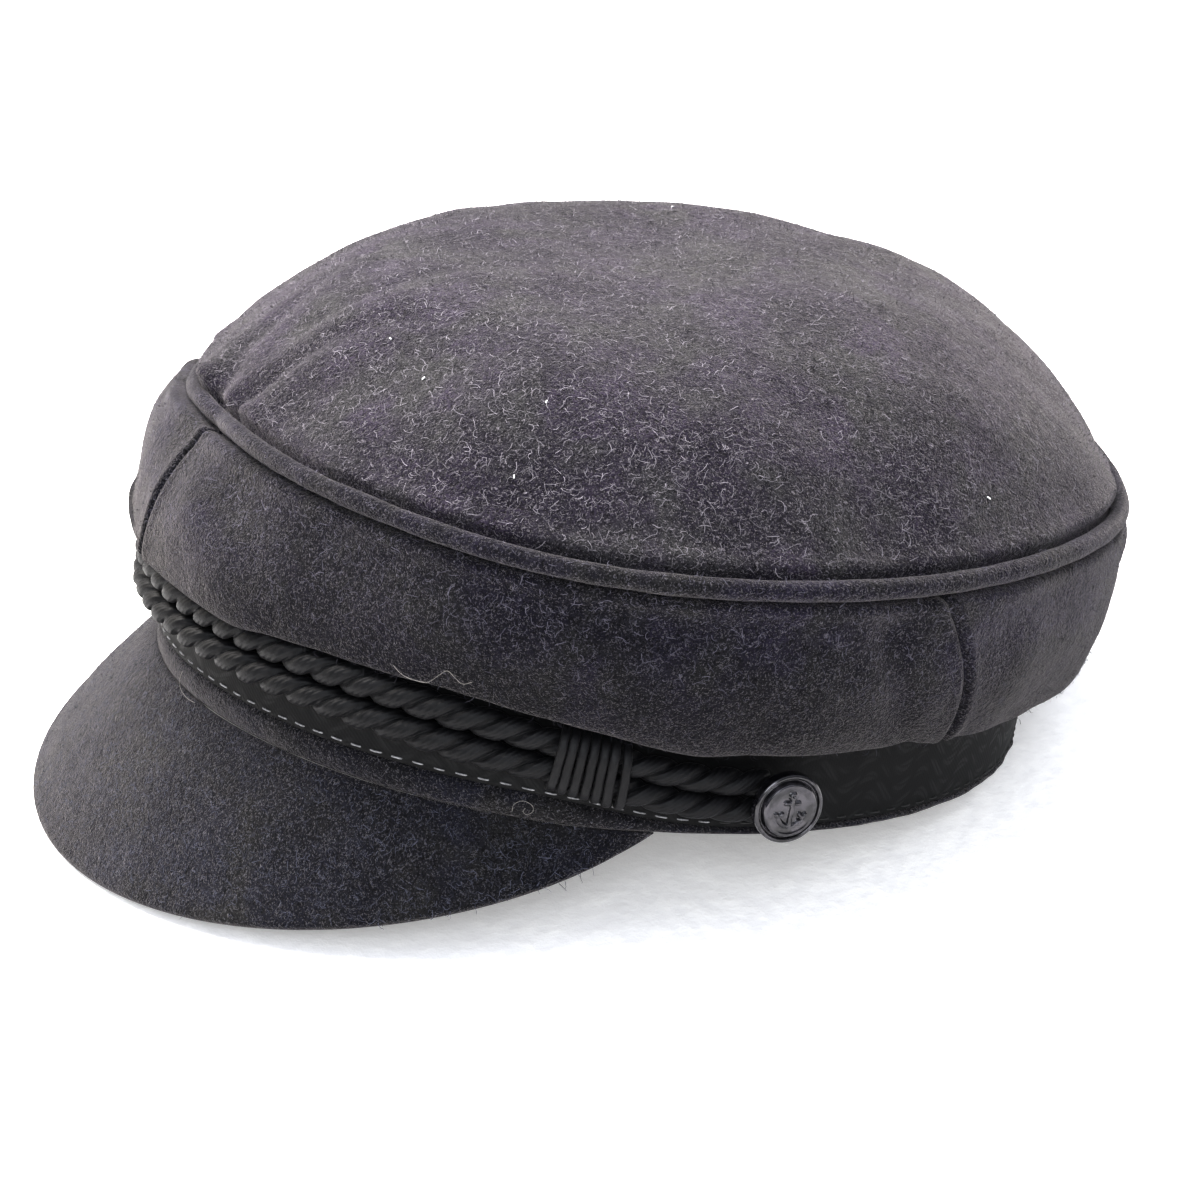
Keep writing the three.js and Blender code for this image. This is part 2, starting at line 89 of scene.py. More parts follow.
SIDE_TURNS = (0, 30, 60, 90, 120, 150, 180)
SIDE_ROWS = {
    "fold_out": (0.46, 0.39, 0.41, 0.45, 0.45, 0.56, 0.54),
    "fold_up": (0.012, 0.013, 0.038, 0.072, 0.065, 0.031, -0.019),
    "side_out": (0.37, 0.35, 0.55, 0.7, 0.76, 0.82, 0.9),
    "side_up": (0.648, 0.629, 0.609, 0.589, 0.573, 0.557, 0.539),
    "upper_out": (0.08, 0.15, 0.42, 0.65, 0.78, 0.83, 0.9),
    "upper_up": (0.82, 0.804, 0.802, 0.807, 0.818, 0.836, 0.854),
    "rim_out": (-0.14, 0.02, 0.41, 0.58, 0.68, 0.66, 0.47),
    "rim_up": (0.988, 0.955, 0.929, 0.96, 1.012, 1.008, 1.072),
}
# Dents of the band: turn, depth as a share of its width, spread in degrees
BAND_DENTS = ((325, 0.032, 24), (152, 0.013, 24))
TRIM_TURNS = (0, 30, 45, 60, 75, 90, 180)
TRIM_ROWS = {
    "line": (0.514, 0.508, 0.478, 0.403, 0.292, 0.27, 0.27),
    "strip": (0.153, 0.15, 0.15, 0.133, 0.056, 0.047, 0.047),
}
# Folds of the solid dome: start x, y, end x, y, width, rise and end rise, all as shares
DOME_FOLDS = (
    (-0.1, -0.92, -0.3, -0.6, 0.2, 0.07, 0.07),
    (0.02, -0.88, 0.3, -0.46, 0.2, 0.07, 0.005),
    (0.84, 0.0, 0.98, 0.02, 0.28, -0.06, -0.06),
    (-0.46, -0.06, -0.05, 0.56, 0.4, 0.03, 0.03),
)
# Finer creases of the dome: plan points in millimetres, then width, rise and end rise
DOME_CREASES = (
    (((-4, -95), (-12, -84), (-21, -69), (-33, -50)), 3.4, -3.0, -0.7),
    (((-2, -94), (1, -80), (5, -66), (16, -52)), 4.2, 2.0, 0.1),
    (((2, -94), (8, -81), (14, -69), (23, -59)), 3.2, -2.3, -0.1),
    (((8, -91), (16, -80), (26, -71)), 4.6, 1.5, 0.1),
    (((-12, -88), (-22, -73), (-31, -60)), 4.5, 1.2, 0.3),
    (((20, -84), (34, -70), (44, -54)), 9.0, -0.8, -0.2),
    (((76, -8), (88, -2), (99, 3)), 9.0, -1.3, -1.3),
    (((-10, 4), (20, -12), (46, -28)), 13.0, -1.3, -0.8),
    (((40, -86), (52, -70), (58, -50)), 12.0, 0.7, 0.7),
    (((28, -6), (40, 16), (46, 40)), 12.0, 0.9, 0.5),
    (((62, -40), (72, -24), (78, -6)), 8.0, 0.7, 0.2),
    (((-20, -36), (4, -34), (30, -40)), 9.0, -0.9, -0.3),
    (((-14, -90), (-34, -82), (-58, -66)), 8.0, 2.6, 1.5),
    (((-48, -20), (-44, 10), (-30, 40)), 10.0, 0.9, 0.9),
)
# The front seam pulls the rim in: depth in millimetres and spread in degrees
SEAM_PINCH = 3.0
PINCH_SPREAD = 6.5
PINCH_POWER = 1.3
# The cloth beside the piping: where it puffs up and how widely, how deep it dives and how near
LIP_AWAY = 2.3
LIP_SPREAD = 2.0
LIP_DIVE = 1.9
LIP_REACH = 0.75
# Places where the soft rim sinks: turn, depth in millimetres and spread in degrees
RIM_SINKS = ((334, 1.7, 22), (0, 1.6, 5))
# Creases of the crown's side: turn and share of its height at each point, width and rise
SIDE_CREASES = (
    (((91, 0.84), (94, 0.6), (98, 0.36), (99, 0.24)), 3.2, -1.4),
    (((84, 0.55), (88, 0.4), (90, 0.28)), 7.0, 0.8),
    (((111, 0.8), (109, 0.5), (108, 0.3)), 6.0, 0.8),
    (((4, 0.86), (12, 0.62), (20, 0.4)), 6.0, 0.9),
    (((30, 0.82), (38, 0.55), (44, 0.36)), 9.0, -0.8),
    (((55, 0.86), (66, 0.6), (74, 0.4)), 10.0, 0.7),
    (((140, 0.85), (136, 0.6), (132, 0.3)), 8.0, -1.0),
    (((182, 0.8), (190, 0.5), (196, 0.3)), 8.0, 1.0),
    (((230, 0.85), (226, 0.6), (222, 0.35)), 9.0, -0.9),
    (((268, 0.86), (262, 0.6), (258, 0.3)), 4.0, -1.2),
    (((318, 0.8), (310, 0.6), (306, 0.4)), 9.0, -0.8),
    (((350, 0.86), (338, 0.84), (326, 0.8)), 11.0, 3.0),
    (((354, 0.45), (342, 0.45), (330, 0.45)), 8.0, -1.4),
    (((8, 0.62), (22, 0.55), (40, 0.5)), 10.0, 0.8),
    (((96, 0.93), (101, 0.9), (107, 0.93)), 5.0, 0.7),
    (((144, 0.86), (153, 0.88), (162, 0.86)), 5.0, 1.2),
)

# The camera in the cap's own frame, with its lens and sensor in millimetres
CAMERA_PLACE = (463.7, -276.12, 200.16)
CAMERA_BACK = (0.81137, -0.48353, 0.32843)
CAMERA_RIGHT = (0.46020, 0.87486, 0.15111)
CAMERA_UP = (-0.36040, 0.02853, 0.93236)
CAMERA_LENS = 78.0
SENSOR_WIDTH = 36
VIEW_GAMMA = 0.8

# Painted shade: the side's cloth is painted darker towards its fold, between these heights in metres
FOLD_SHADE_HEIGHTS = (0.023, 0.045)
FOLD_SHADE_SHARE = 0.62
FOLD_SHADE_COLOUR = (0.0012, 0.0013, 0.0021)

# Mesh steps
DOME_RINGS = 100
DOME_TURNS = 380
QUARTER_TURNS = 96
QUARTER_ROWS = 64
RING_TURNS = 360
PIPING_SIDES = 18
ROPE_STEPS = 640
ROPE_SIDES = 30
WRAP_SIDES = 20
BUTTON_SIDES = 144


def bell(distance, spread):
    return np.exp(-((distance / spread) ** 2))


def turn_apart(turn, middle):
    return np.mod(np.asarray(turn, float) - middle + 180, 360) - 180


def from_front(turn):
    wrapped = np.mod(turn, 360.0)
    return np.minimum(wrapped, 360.0 - wrapped)


def smooth_column(turns, values, turn):
    """A smooth value between the rows of a table that mirrors at both ends."""
    turns = np.asarray(turns, float)
    values = np.asarray(values, float)
    slopes = np.zeros(len(turns))
    slopes[1:-1] = (values[2:] - values[:-2]) / (turns[2:] - turns[:-2])
    at = from_front(np.asarray(turn, float))
    row = np.clip(np.searchsorted(turns, at, side="left") - 1, 0, len(turns) - 2)
    span = turns[row + 1] - turns[row]
    share = (at - turns[row]) / span
    square = share * share
    cube = square * share
    return (
        (2 * cube - 3 * square + 1) * values[row]
        + (cube - 2 * square + share) * span * slopes[row]
        + (3 * square - 2 * cube) * values[row + 1]
        + (cube - square) * span * slopes[row + 1]
    )


def side_share(column, turn):
    return smooth_column(SIDE_TURNS, SIDE_ROWS[column], turn)


def trim(column, turn):
    return smooth_column(TRIM_TURNS, TRIM_ROWS[column], turn) * BAND_HEIGHT


def dent_depth(turn):
    total = 0
    for middle, inward, spread in BAND_DENTS:
        total = total + inward * BAND_WIDTH * bell(turn_apart(turn, middle), spread)
    return total


def band_point(turn, out, up):
    """A point at a turn round the band, a distance out from its face and a height."""
    angle = np.radians(turn)
    out = np.asarray(out, float) - dent_depth(turn)
    out, up, angle = np.broadcast_arrays(out, up, angle)
    return np.stack(
        [
            (BAND_WIDTH / 2 + out) * np.sin(angle),
            -(BAND_LENGTH / 2 + out) * np.cos(angle),
            up,
        ],
        -1,
    )


def outward_at(turn):
    vector = band_point(turn, 1, 0) - band_point(turn, 0, 0)
    return vector / np.linalg.norm(vector, axis=-1, keepdims=True)


def unit(vectors):
    return vectors / np.maximum(np.linalg.norm(vectors, axis=-1, keepdims=True), 1e-12)


# The peak, and the sloping plane that the cap rests on
def peak_face(sweep, share):
    angle = np.radians(sweep)
    seat = band_point(PEAK_SPREAD * sweep / 90, PEAK_SEAT_OUT, -GAP)
    spread = math.radians(PEAK_SPREAD)
    edge_y = -(BAND_LENGTH / 2) * math.cos(spread) - PEAK_REACH
    fall = np.power(np.maximum(np.cos(angle), 0), PEAK_FALL)
    edge = np.stack(
        [
            (BAND_WIDTH / 2) * math.sin(spread) * np.sin(angle),
            edge_y + PEAK_REACH * (1 - np.cos(angle)),
            -PEAK_DROP * fall,
        ],
        -1,
    )
    point = edge + (seat - edge) * share[..., None]
    point[..., 2] += PEAK_CROWN * np.sin(np.pi * share) * np.cos(angle)
    return point


def peak_normal(sweep, share):
    step = 0.02
    low = np.maximum(share - step, 0)
    high = np.minimum(share + step, 1)
    across = peak_face(sweep + 1, share) - peak_face(sweep - 1, share)
    inward = peak_face(sweep, high) - peak_face(sweep, low)
    return unit(np.cross(across, inward))


front_sweep = np.array(0.0)
FRONT_FOOT = peak_face(front_sweep, front_sweep)
FRONT_FOOT = FRONT_FOOT - PEAK_THICKNESS * peak_normal(front_sweep, front_sweep)
BACK_FOOT = band_point(180, ROLL_PROUD, 0)
FLOOR_SLOPE = (BACK_FOOT[2] - FRONT_FOOT[2]) / (BACK_FOOT[1] - FRONT_FOOT[1])
LEAN = math.atan(FLOOR_SLOPE)
TURN_TO_ROW = np.array(
    [
        [1, 0, 0],
        [0, math.cos(LEAN), math.sin(LEAN)],
        [0, -math.sin(LEAN), math.cos(LEAN)],
    ]
)


def row_shift():
    """The move from the leaned cap to the row frame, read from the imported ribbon."""
    ribbon_back = band_point(180, GAP + RIBBON_WALL, BAND_HEIGHT - RIBBON_TOP_MARGIN)
    ribbon_left = band_point(90, GAP + RIBBON_WALL, 0)
    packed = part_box("band_ribbon")[1] * 1000
    floor_level = (TURN_TO_ROW @ (FRONT_FOOT + np.array([0, 0, PRESSED])))[2]
    return np.array(
        [packed.x - ribbon_left[0], packed.y - (TURN_TO_ROW @ ribbon_back)[1], -floor_level]
    )


ROW_SHIFT = row_shift()


def to_row(points):
    """Cap millimetres to row metres."""
    return (np.asarray(points, float) @ TURN_TO_ROW.T + ROW_SHIFT) / 1000


# Mesh building
def grid_quads(columns, rows, columns_closed, rows_closed=False):
    i = np.arange(columns if columns_closed else columns - 1)[:, None]
    j = np.arange(rows if rows_closed else rows - 1)[None, :]
    here = i * rows
    there = (i + 1) % columns * rows
    up = (j + 1) % rows
    return np.stack([here + j, there + j, there + up, here + up], -1).reshape(-1, 4)


def join_rows(first, second, closed):
    """Quads between two lines of vertex numbers."""
    if closed:
        first = np.append(first, first[0])
        second = np.append(second, second[0])
    return np.stack([first[:-1], first[1:], second[1:], second[:-1]], -1)


def sheet(outer, inner, domed=False):
    """A closed sheet with thickness from two grids, or a dome with a centre on each side."""
    columns, rows = outer.shape[:2]
    count = columns * rows
    index = np.arange(count).reshape(columns, rows)
    quads = grid_quads(columns, rows, domed)
    points = [outer.reshape(-1, 3), inner.reshape(-1, 3)]
    groups = [quads, quads[:, ::-1] + count, join_rows(index[:, 0] + count, index[:, 0], domed)]
    if domed:
        points += [outer[:, -1].mean(0)[None], inner[:, -1].mean(0)[None]]
        last = index[:, -1]
        after = np.roll(last, -1)
        centre = np.full(columns, 2 * count)
        groups.append(np.stack([last, after, centre], -1))
        groups.append(np.stack([after + count, last + count, centre + 1], -1))
    else:
        groups.append(join_rows(index[:, -1], index[:, -1] + count, False))
        groups.append(join_rows(index[0], index[0] + count, False))
        groups.append(join_rows(index[-1] + count, index[-1], False))
    return np.concatenate(points), [tuple(face) for group in groups for face in group.tolist()]


def tube(rings, closed):
    """A tube through rings of points [along][around], capped unless it closes on itself."""
    along, around = rings.shape[:2]
    faces = [tuple(quad) for quad in grid_quads(along, around, closed, True).tolist()]
    if not closed:
        faces.append(tuple(range(around)))
        last = (along - 1) * around
        faces.append(tuple(range(last, last + around))[::-1])
    return rings.reshape(-1, 3), faces


def circle(sides):
    return 2 * np.pi * np.arange(sides) / sides


def rings_along(path, side, over, side_reach, over_reach):
    """Rings of points round a path, from a reach to its side and one over it."""
    return path[:, None, :] + (
        side[:, None, :] * np.atleast_2d(side_reach)[..., None]
        + over[:, None, :] * np.atleast_2d(over_reach)[..., None]
    )


def passed_lengths(path):
    """The length of a path up to each of its points."""
    return np.concatenate([[0], np.cumsum(np.linalg.norm(np.diff(path, axis=0), axis=1))])


def join_parts(parts):
    points = []
    faces = []
    offset = 0
    for part_points, part_faces in parts:
        points.append(part_points)
        faces.extend(tuple(index + offset for index in face) for face in part_faces)
        offset += len(part_points)
    return np.concatenate(points), faces


def turned_outward(points, faces):
    """Flips the faces where they enclose a negative volume."""
    volume = 0.0
    for face in faces[:: max(1, len(faces) // 20000)]:
        a = points[face[0]]
        for k in range(1, len(face) - 1):
            volume += np.dot(a, np.cross(points[face[k]], points[face[k + 1]]))
    return faces if volume > 0 else [face[::-1] for face in faces]


def new_object(name, data):
    thing = bpy.data.objects.new(name, data)
    bpy.context.scene.collection.objects.link(thing)
    return thing


def add_piece(name, built, material, nodes=(), coordinates=None, check_turn=True):
    """Makes a mesh object from cap millimetres that rides on the cap and stands for its nodes."""
    points, faces = built
    points = to_row(points)
    points[:, 2] = np.maximum(points[:, 2], 0)
    if check_turn:
        faces = turned_outward(points - points.mean(0), faces)
    mesh = bpy.data.meshes.new(name)
    mesh.from_pydata(points.tolist(), [], faces)
    mesh.update()
    mesh.polygons.foreach_set("use_smooth", np.ones(len(mesh.polygons), bool))
    if coordinates is not None:
        attribute = mesh.attributes.new("cloth", "FLOAT_VECTOR", "POINT")
        attribute.data.foreach_set("vector", np.asarray(coordinates, np.float32).ravel())
    piece = new_object(name, mesh)
    mesh.materials.append(material)
    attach(piece, "root")
    if nodes:
        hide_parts(*nodes)
    return piece


def grid_normals(grid, closed):
    """Normals of a grid of points, from the differences along its columns and rows."""
    if closed:
        along = np.roll(grid, -1, 0) - np.roll(grid, 1, 0)
    else:
        along = np.gradient(grid, axis=0)
    up = np.gradient(grid, axis=1)
    return unit(np.cross(along, up))


def undulation(points, wavelength, height, seed):
    """Soft unevenness of hand-shaped cloth."""
    rng = np.random.default_rng(seed)
    waves = 9
    total = np.zeros(points.shape[:-1])
    for _ in range(waves):
        direction = rng.normal(size=3)
        direction /= np.linalg.norm(direction)
        length = wavelength * rng.uniform(0.7, 1.6)
        total += np.sin(points @ direction * (2 * math.pi / length) + rng.uniform(0, 2 * math.pi))
    return height * total / math.sqrt(waves)


def along_line(points, line):
    """The distance to a line of points, and the share of the line's length at the nearest place."""
    best = np.full(points.shape[:-1], np.inf)
    place = np.zeros(points.shape[:-1])
    passed = passed_lengths(line)
    for k, (start, end) in enumerate(zip(line[:-1], line[1:])):
        along = end - start
        share = np.clip((points - start) @ along / (along @ along), 0, 1)
        distance = np.linalg.norm(points - start - share[..., None] * along, axis=-1)
        nearer = distance < best
        best = np.where(nearer, distance, best)
        reached = passed[k] + share * (passed[k + 1] - passed[k])
        place = np.where(nearer, reached / passed[-1], place)
    return best, place


def fold_rise(points, line, width, rise, end_rise):
    distance, place = along_line(points, line)
    return (rise + (end_rise - rise) * place) * bell(distance, width)


# Crown
def rope_top(turn):
    return trim("line", turn) + GAP / 2 + ROPE_DIAMETER


def side_corners(turn):
    turn = np.asarray(turn, float)
    flat = np.ones_like(turn)

    def out(column):
        return side_share(column, turn) * CROWN_OVERHANG

    def up(column):
        return side_share(column, turn) * RIM_HEIGHT

    dent = dent_depth(turn)
    corners = [
        (GAP * flat, (BAND_HEIGHT + GAP) * flat),
        (LEG_OUT + dent / 2, LEG_RISE * flat),
        (out("fold_out") + dent, rope_top(turn) + up("fold_up")),
        (out("side_out") + (1 - SIDE_FOLLOW) * dent, up("side_up")),
        (out("upper_out") + (1 - SIDE_FOLLOW) * dent, up("upper_up")),
        (out("rim_out") - seam_pinch(turn), up("rim_up") - rim_sink(turn)),
    ]
    return np.stack([np.stack(corner, -1) for corner in corners], -2)


def spline(corners, share):
    """The same curve through corner points as in the solids."""
    count = corners.shape[-2]
    place = np.clip(share, 0, 1) * (count - 1)
    index = np.minimum(np.floor(place).astype(int), count - 2)
    weight = (place - index)[..., None]

    def corner(k):
        k = np.clip(k, 0, count - 1)
        return np.take_along_axis(corners, k[..., None, None], axis=-2)[..., 0, :]

    p0, p1, p2, p3 = corner(index - 1), corner(index), corner(index + 1), corner(index + 2)
    v0 = (p2 - p0) / 2
    v1 = (p3 - p1) / 2
    return (
        (2 * p1 - 2 * p2 + v0 + v1) * weight**3
        + (-3 * p1 + 3 * p2 - 2 * v0 - v1) * weight**2
        + v0 * weight
        + p1
    )


CORD_RADIUS = 0.9 * PIPING_DIAMETER / 2


def short_of_piping(point_at, centre, shape):
    clear = np.full(shape, 0.8)
    touching = np.ones(shape)
    for _ in range(16):
        share = (clear + touching) / 2
        outside = np.linalg.norm(point_at(share) - centre, axis=-1) > CORD_RADIUS + 0.15
        clear = np.where(outside, share, clear)
        touching = np.where(outside, touching, share)
    return clear


def seam_pinch(turn):
    return SEAM_PINCH * np.exp(-((from_front(turn) / PINCH_SPREAD) ** PINCH_POWER))


def rim_sink(turn):
    total = 0
    for middle, depth, spread in RIM_SINKS:
        total = total + depth * bell(turn_apart(turn, middle), spread)
    return total


def rim_point(turn):
    out = side_share("rim_out", turn) * CROWN_OVERHANG - seam_pinch(turn)
    return band_point(turn, out, side_share("rim_up", turn) * RIM_HEIGHT - rim_sink(turn))


def piping_point(turn):
    return rim_point(turn) + outward_at(turn) * PIPING_PROUD


def behind_piping(turn, inward, down):
    """Where a seam allowance runs on, inward of the piping's middle and below it."""
    return piping_point(turn) - inward * outward_at(turn) - np.array([0, 0, down])


def side_surface(turn, share):
    """A point of the crown's side at a share of its height, short of the piping at 1."""
    corners = side_corners(turn)
    centre = corners[..., -1, :] + np.array([PIPING_PROUD, 0])
    clear = short_of_piping(lambda at: spline(corners, at), centre, share.shape)
    section = spline(corners, share * clear)
    return band_point(turn, section[..., 0], section[..., 1])


def seam_dip(distance, depth, reach, puff):
    """Cloth that dives into a seam and puffs up a little beside it."""
    return puff * bell(distance - 2.6 * reach, 1.6 * reach) - depth * bell(distance, reach)


def rim_lip(distance, turn):
    """The cloth puffs up beside the piping and dives sharply at its foot."""
    puff = 0.85 + 0.12 * np.sin(np.radians(turn) * 17) + 0.1 * np.sin(np.radians(turn) * 41 + 1)
    return puff * bell(distance - LIP_AWAY, LIP_SPREAD) - LIP_DIVE * bell(distance, LIP_REACH)


def side_crease_field(points):
    total = np.zeros(points.shape[:-1])
    for line, width, rise in SIDE_CREASES:
        turns = np.array([place[0] for place in line], float)
        shares = np.array([place[1] for place in line], float)
        total += fold_rise(points, side_surface(turns, shares), width, rise, rise)
    return total


def seam_turn(share):
    raised = np.maximum(0, (share - 0.5) / 0.5)
    return SIDE_SEAM_TURN - SIDE_SEAM_LEAN * raised**1.5


def side_quarter(start_turn, end_turn):
    """Outer and inner grids of one quarter of the crown's side."""
    half_seam = math.degrees(GAP / 2 / (BAND_WIDTH / 2))
    across = np.linspace(0, 1, QUARTER_TURNS + 1)
    # columns crowd towards both seams, rows towards the piping
    across = 0.5 - 0.5 * np.cos(np.pi * across) * (0.35 * np.cos(np.pi * across) ** 2 + 0.65)
    share = np.linspace(0, 1, QUARTER_ROWS + 1)
    share = share + 0.06 * np.sin(np.pi * share) * share
    share, across = np.meshgrid(share, across)
    start = start_turn(share) + half_seam
    end = end_turn(share) - half_seam
    turn = start + (end - start) * across
    base = side_surface(turn, share)
    normal = grid_normals(base, False)
    if np.mean(np.sum(normal * outward_at(turn), -1)) < 0:
        normal = -normal
    width = np.radians(end - start) * 100
    to_seam = np.minimum(across, 1 - across) * width
    lengths = np.linalg.norm(np.diff(base, axis=1), axis=-1)
    to_rim = np.zeros(share.shape)
    to_rim[:, :-1] = np.cumsum(lengths[:, ::-1], axis=1)[:, ::-1]
    rise = side_crease_field(base) * np.clip((share - 0.2) / 0.15, 0, 1)
    rise += seam_dip(to_seam, 1.25, 0.65, 0.4)
    rise += rim_lip(to_rim, turn)
    rise += undulation(base, 34, 0.4, 3) + undulation(base, 13, 0.14, 4)
    outer = base + normal * rise[..., None]
    inner = base + normal * (np.minimum(rise, 0) - CLOTH_WALL)[..., None]
    outer = np.concatenate([outer, behind_piping(turn[:, -1:], 1.75, 1.15)], 1)
    inner = np.concatenate([inner, behind_piping(turn[:, -1:], 2.1, 1.8)], 1)
    return outer, inner


RIM_FRONT = rim_point(np.array(0.0))
RIM_BACK = rim_point(np.array(180.0))
RIM_TILT = (RIM_FRONT[2] - RIM_BACK[2]) / 2
RIM_LEVEL = (RIM_FRONT[2] + RIM_BACK[2]) / 2


def dome_point(turn, share):
    rim = rim_point(turn)
    x = rim[..., 0] * share
    y = DOME_CENTRE_BACK + (rim[..., 1] - DOME_CENTRE_BACK) * share
    tilt = RIM_TILT * np.cos(np.radians(turn))
    base = RIM_LEVEL + tilt * share + (rim[..., 2] - RIM_LEVEL - tilt) * share * share
    lean = 1 + DOME_LEAN * y / (BAND_LENGTH / 2)
    swell = 1 - share**DOME_FULLNESS
    plan = np.stack([x, y], -1)
    folds = np.zeros(x.shape)
    half = np.array([BAND_WIDTH / 2, BAND_LENGTH / 2])
    for x0, y0, x1, y1, width, rise, end_rise in DOME_FOLDS:
        line = np.array([[x0, y0], [x1, y1]]) * half
        folds += DOME_HEIGHT * fold_rise(plan, line, width * DOME_HEIGHT, rise, end_rise)
    return np.stack([x, y, base + DOME_HEIGHT * lean * swell + folds * swell], -1)


def crown_dome():
    """The dome's outer and inner grids, from the piping inwards, without the centre point."""
    turns = np.arange(DOME_TURNS) * 360 / DOME_TURNS
    clear = short_of_piping(lambda at: dome_point(turns, at), piping_point(turns), turns.shape)
    rows = (1 - np.arange(DOME_RINGS) / DOME_RINGS) ** 0.75
    turn = turns[:, None] + 0 * rows[None, :]
    share = clear[:, None] * rows[None, :]
    base = dome_point(turn, share)
    normal = grid_normals(base, True)
    if normal[..., 2].mean() < 0:
        normal = -normal
    lengths = np.linalg.norm(np.diff(base, axis=1), axis=-1)
    to_rim = np.zeros(share.shape)
    to_rim[:, 1:] = np.cumsum(lengths, axis=1)
    rise = np.zeros(share.shape)
    for line, width, height, end_height in DOME_CREASES:
        rise += fold_rise(base[..., :2], np.array(line, float), width, height, end_height)
    rise += rim_lip(to_rim, turn)
    rise += undulation(base, 40, 0.45, 1) + undulation(base, 15, 0.16, 2)
    outer = base + normal * rise[..., None]
    inner = base + normal * (np.minimum(rise, 0) - CLOTH_WALL)[..., None]
    outer = np.concatenate([behind_piping(turn[:, :1], 1.6, 0.5), outer], 1)
    inner = np.concatenate([behind_piping(turn[:, :1], 3.0, 1.4), inner], 1)
    return outer, inner


def piping_mesh():
    turns = np.arange(2 * RING_TURNS) * 180 / RING_TURNS
    centre = piping_point(turns)
    outward = outward_at(turns)
    angle = circle(PIPING_SIDES)
    slim = 1 - 0.1 * bell(from_front(turns), 40)
    uneven = slim[:, None] + undulation(centre, 9, 0.03, 7)[:, None]
    radius = CORD_RADIUS * uneven
    rings = centre[:, None, :] + outward[:, None, :] * (radius * np.cos(angle))[..., None]
    rings[..., 2] += radius * np.sin(angle)
    return tube(rings, True)


# Band, ribbon and stitches
def smooth_step(value, low, high):
    share = np.clip((value - low) / (high - low), 0, 1)
    return share * share * (3 - 2 * share)


# The rolled lower edge: share of its height from the top, and share of ROLL_PROUD
ROLL_PROFILE = (
    (0.0, 0.0), (0.08, 0.62), (0.2, 0.95), (0.45, 1.08), (0.7, 1.0), (0.88, 0.82), (1.0, 0.5),
)


def ring_mesh(turns, section):
    """A ring round the band from the distances out and the heights of its section."""
    return tube(np.stack([band_point(turns, out, up) for out, up in section], 1), True)


def band_mesh():
    turns = np.arange(RING_TURNS) * 360 / RING_TURNS
    foot = -BAND_SAG * smooth_step(from_front(turns), SAG_START, SAG_FULL)
    foot -= 0.42 * (1 - smooth_step(from_front(turns), PEAK_SPREAD - 8, PEAK_SPREAD))
    strip = trim("strip", turns) - GAP
    uneven = 1 + 0.12 * undulation(band_point(turns, 0, 0), 8, 1, 9)
    section = []
    for share, proud in ROLL_PROFILE:
        section.append((ROLL_PROUD * proud * uneven, strip + (foot - strip) * share))
    section += [(-BAND_WALL * 0.4, foot - 0.1), (-BAND_WALL * 0.85, foot), (-BAND_WALL, foot + 0.5)]
    section += [(-BAND_WALL, foot + (BAND_HEIGHT - foot) * rise) for rise in (0.25, 0.5, 0.75)]
    section += [(-BAND_WALL, BAND_HEIGHT - 0.4), (-BAND_WALL * 0.8, BAND_HEIGHT)]
    section += [(-BAND_WALL * 0.2, BAND_HEIGHT), (0, BAND_HEIGHT - 0.4)]
    section += [(0, strip + (BAND_HEIGHT - strip) * rise) for rise in (0.7, 0.4, 0.1)]
    return ring_mesh(turns, section)


def ribbon_mesh():
    turns = np.arange(RING_TURNS) * 360 / RING_TURNS
    low = trim("strip", turns)
    top = BAND_HEIGHT - RIBBON_TOP_MARGIN
    face = GAP + RIBBON_WALL
    ripple = undulation(band_point(turns, 0, 0), 16, 0.12, 11)
    section = [(GAP, low), (face - 0.35, low), (face + 0.05, low + 0.25), (face - 0.1, low + 0.9)]
    for rise in (0.1, 0.25, 0.4, 0.55, 0.7, 0.85):
        bow = (0.16 + ripple) * math.sin(math.pi * rise)
        section.append((face + bow, low + (top - low) * rise))
    section += [(face, top - 0.3), (face - 0.3, top), (GAP, top)]
    return ring_mesh(turns, section)


STITCH_PITCH = 4.3
STITCH_LENGTH = 2.7
STITCH_RADIUS = 0.18
STITCH_RISE = 0.95


def capsule(start, end, normal, radius, dive, sides=6, steps=9):
    """One stitch: a short thread that dives into the cloth at both ends."""
    share = np.linspace(0, 1, steps)
    path = start + (end - start) * share[:, None] - normal * (dive * (2 * share - 1) ** 4)[:, None]
    along = unit(np.gradient(path, axis=0))
    side = unit(np.cross(along, normal))
    over = np.cross(side, along)
    angle = circle(sides)
    full = radius * np.sqrt(np.maximum(1 - (2 * share - 1) ** 8, 0.05))[:, None]
    return tube(rings_along(path, side, over, full * np.cos(angle), full * np.sin(angle)), False)


def stitches(low_turn, high_turn, seed):
    """Stitches along the ribbon's lower edge between two distances from the front."""
    rng = np.random.default_rng(seed)
    fine = np.linspace(0, 360, 3601)
    path = band_point(fine, GAP + RIBBON_WALL, trim("strip", fine) + STITCH_RISE)
    lengths = passed_lengths(path)
    count = int(round(lengths[-1] / STITCH_PITCH))
    parts = []
    for k in range(count):
        middle = (k + 0.5) * lengths[-1] / count
        turn = np.interp(middle, lengths, fine)
        if not low_turn <= from_front(turn) < high_turn:
            continue
        half = STITCH_LENGTH / 2 * rng.uniform(0.9, 1.06)
        ends = np.interp([middle - half, middle + half], lengths, fine)
        lift = rng.uniform(-0.08, 0.08, 2)
        ends_up = trim("strip", ends) + STITCH_RISE + lift
        points = band_point(ends, GAP + RIBBON_WALL + 0.02, ends_up)
        normal = outward_at(np.array(turn))
        radius = STITCH_RADIUS * rng.uniform(0.9, 1.1)
        parts.append(capsule(points[0], points[1], normal, radius, 0.35))
    return join_parts(parts)


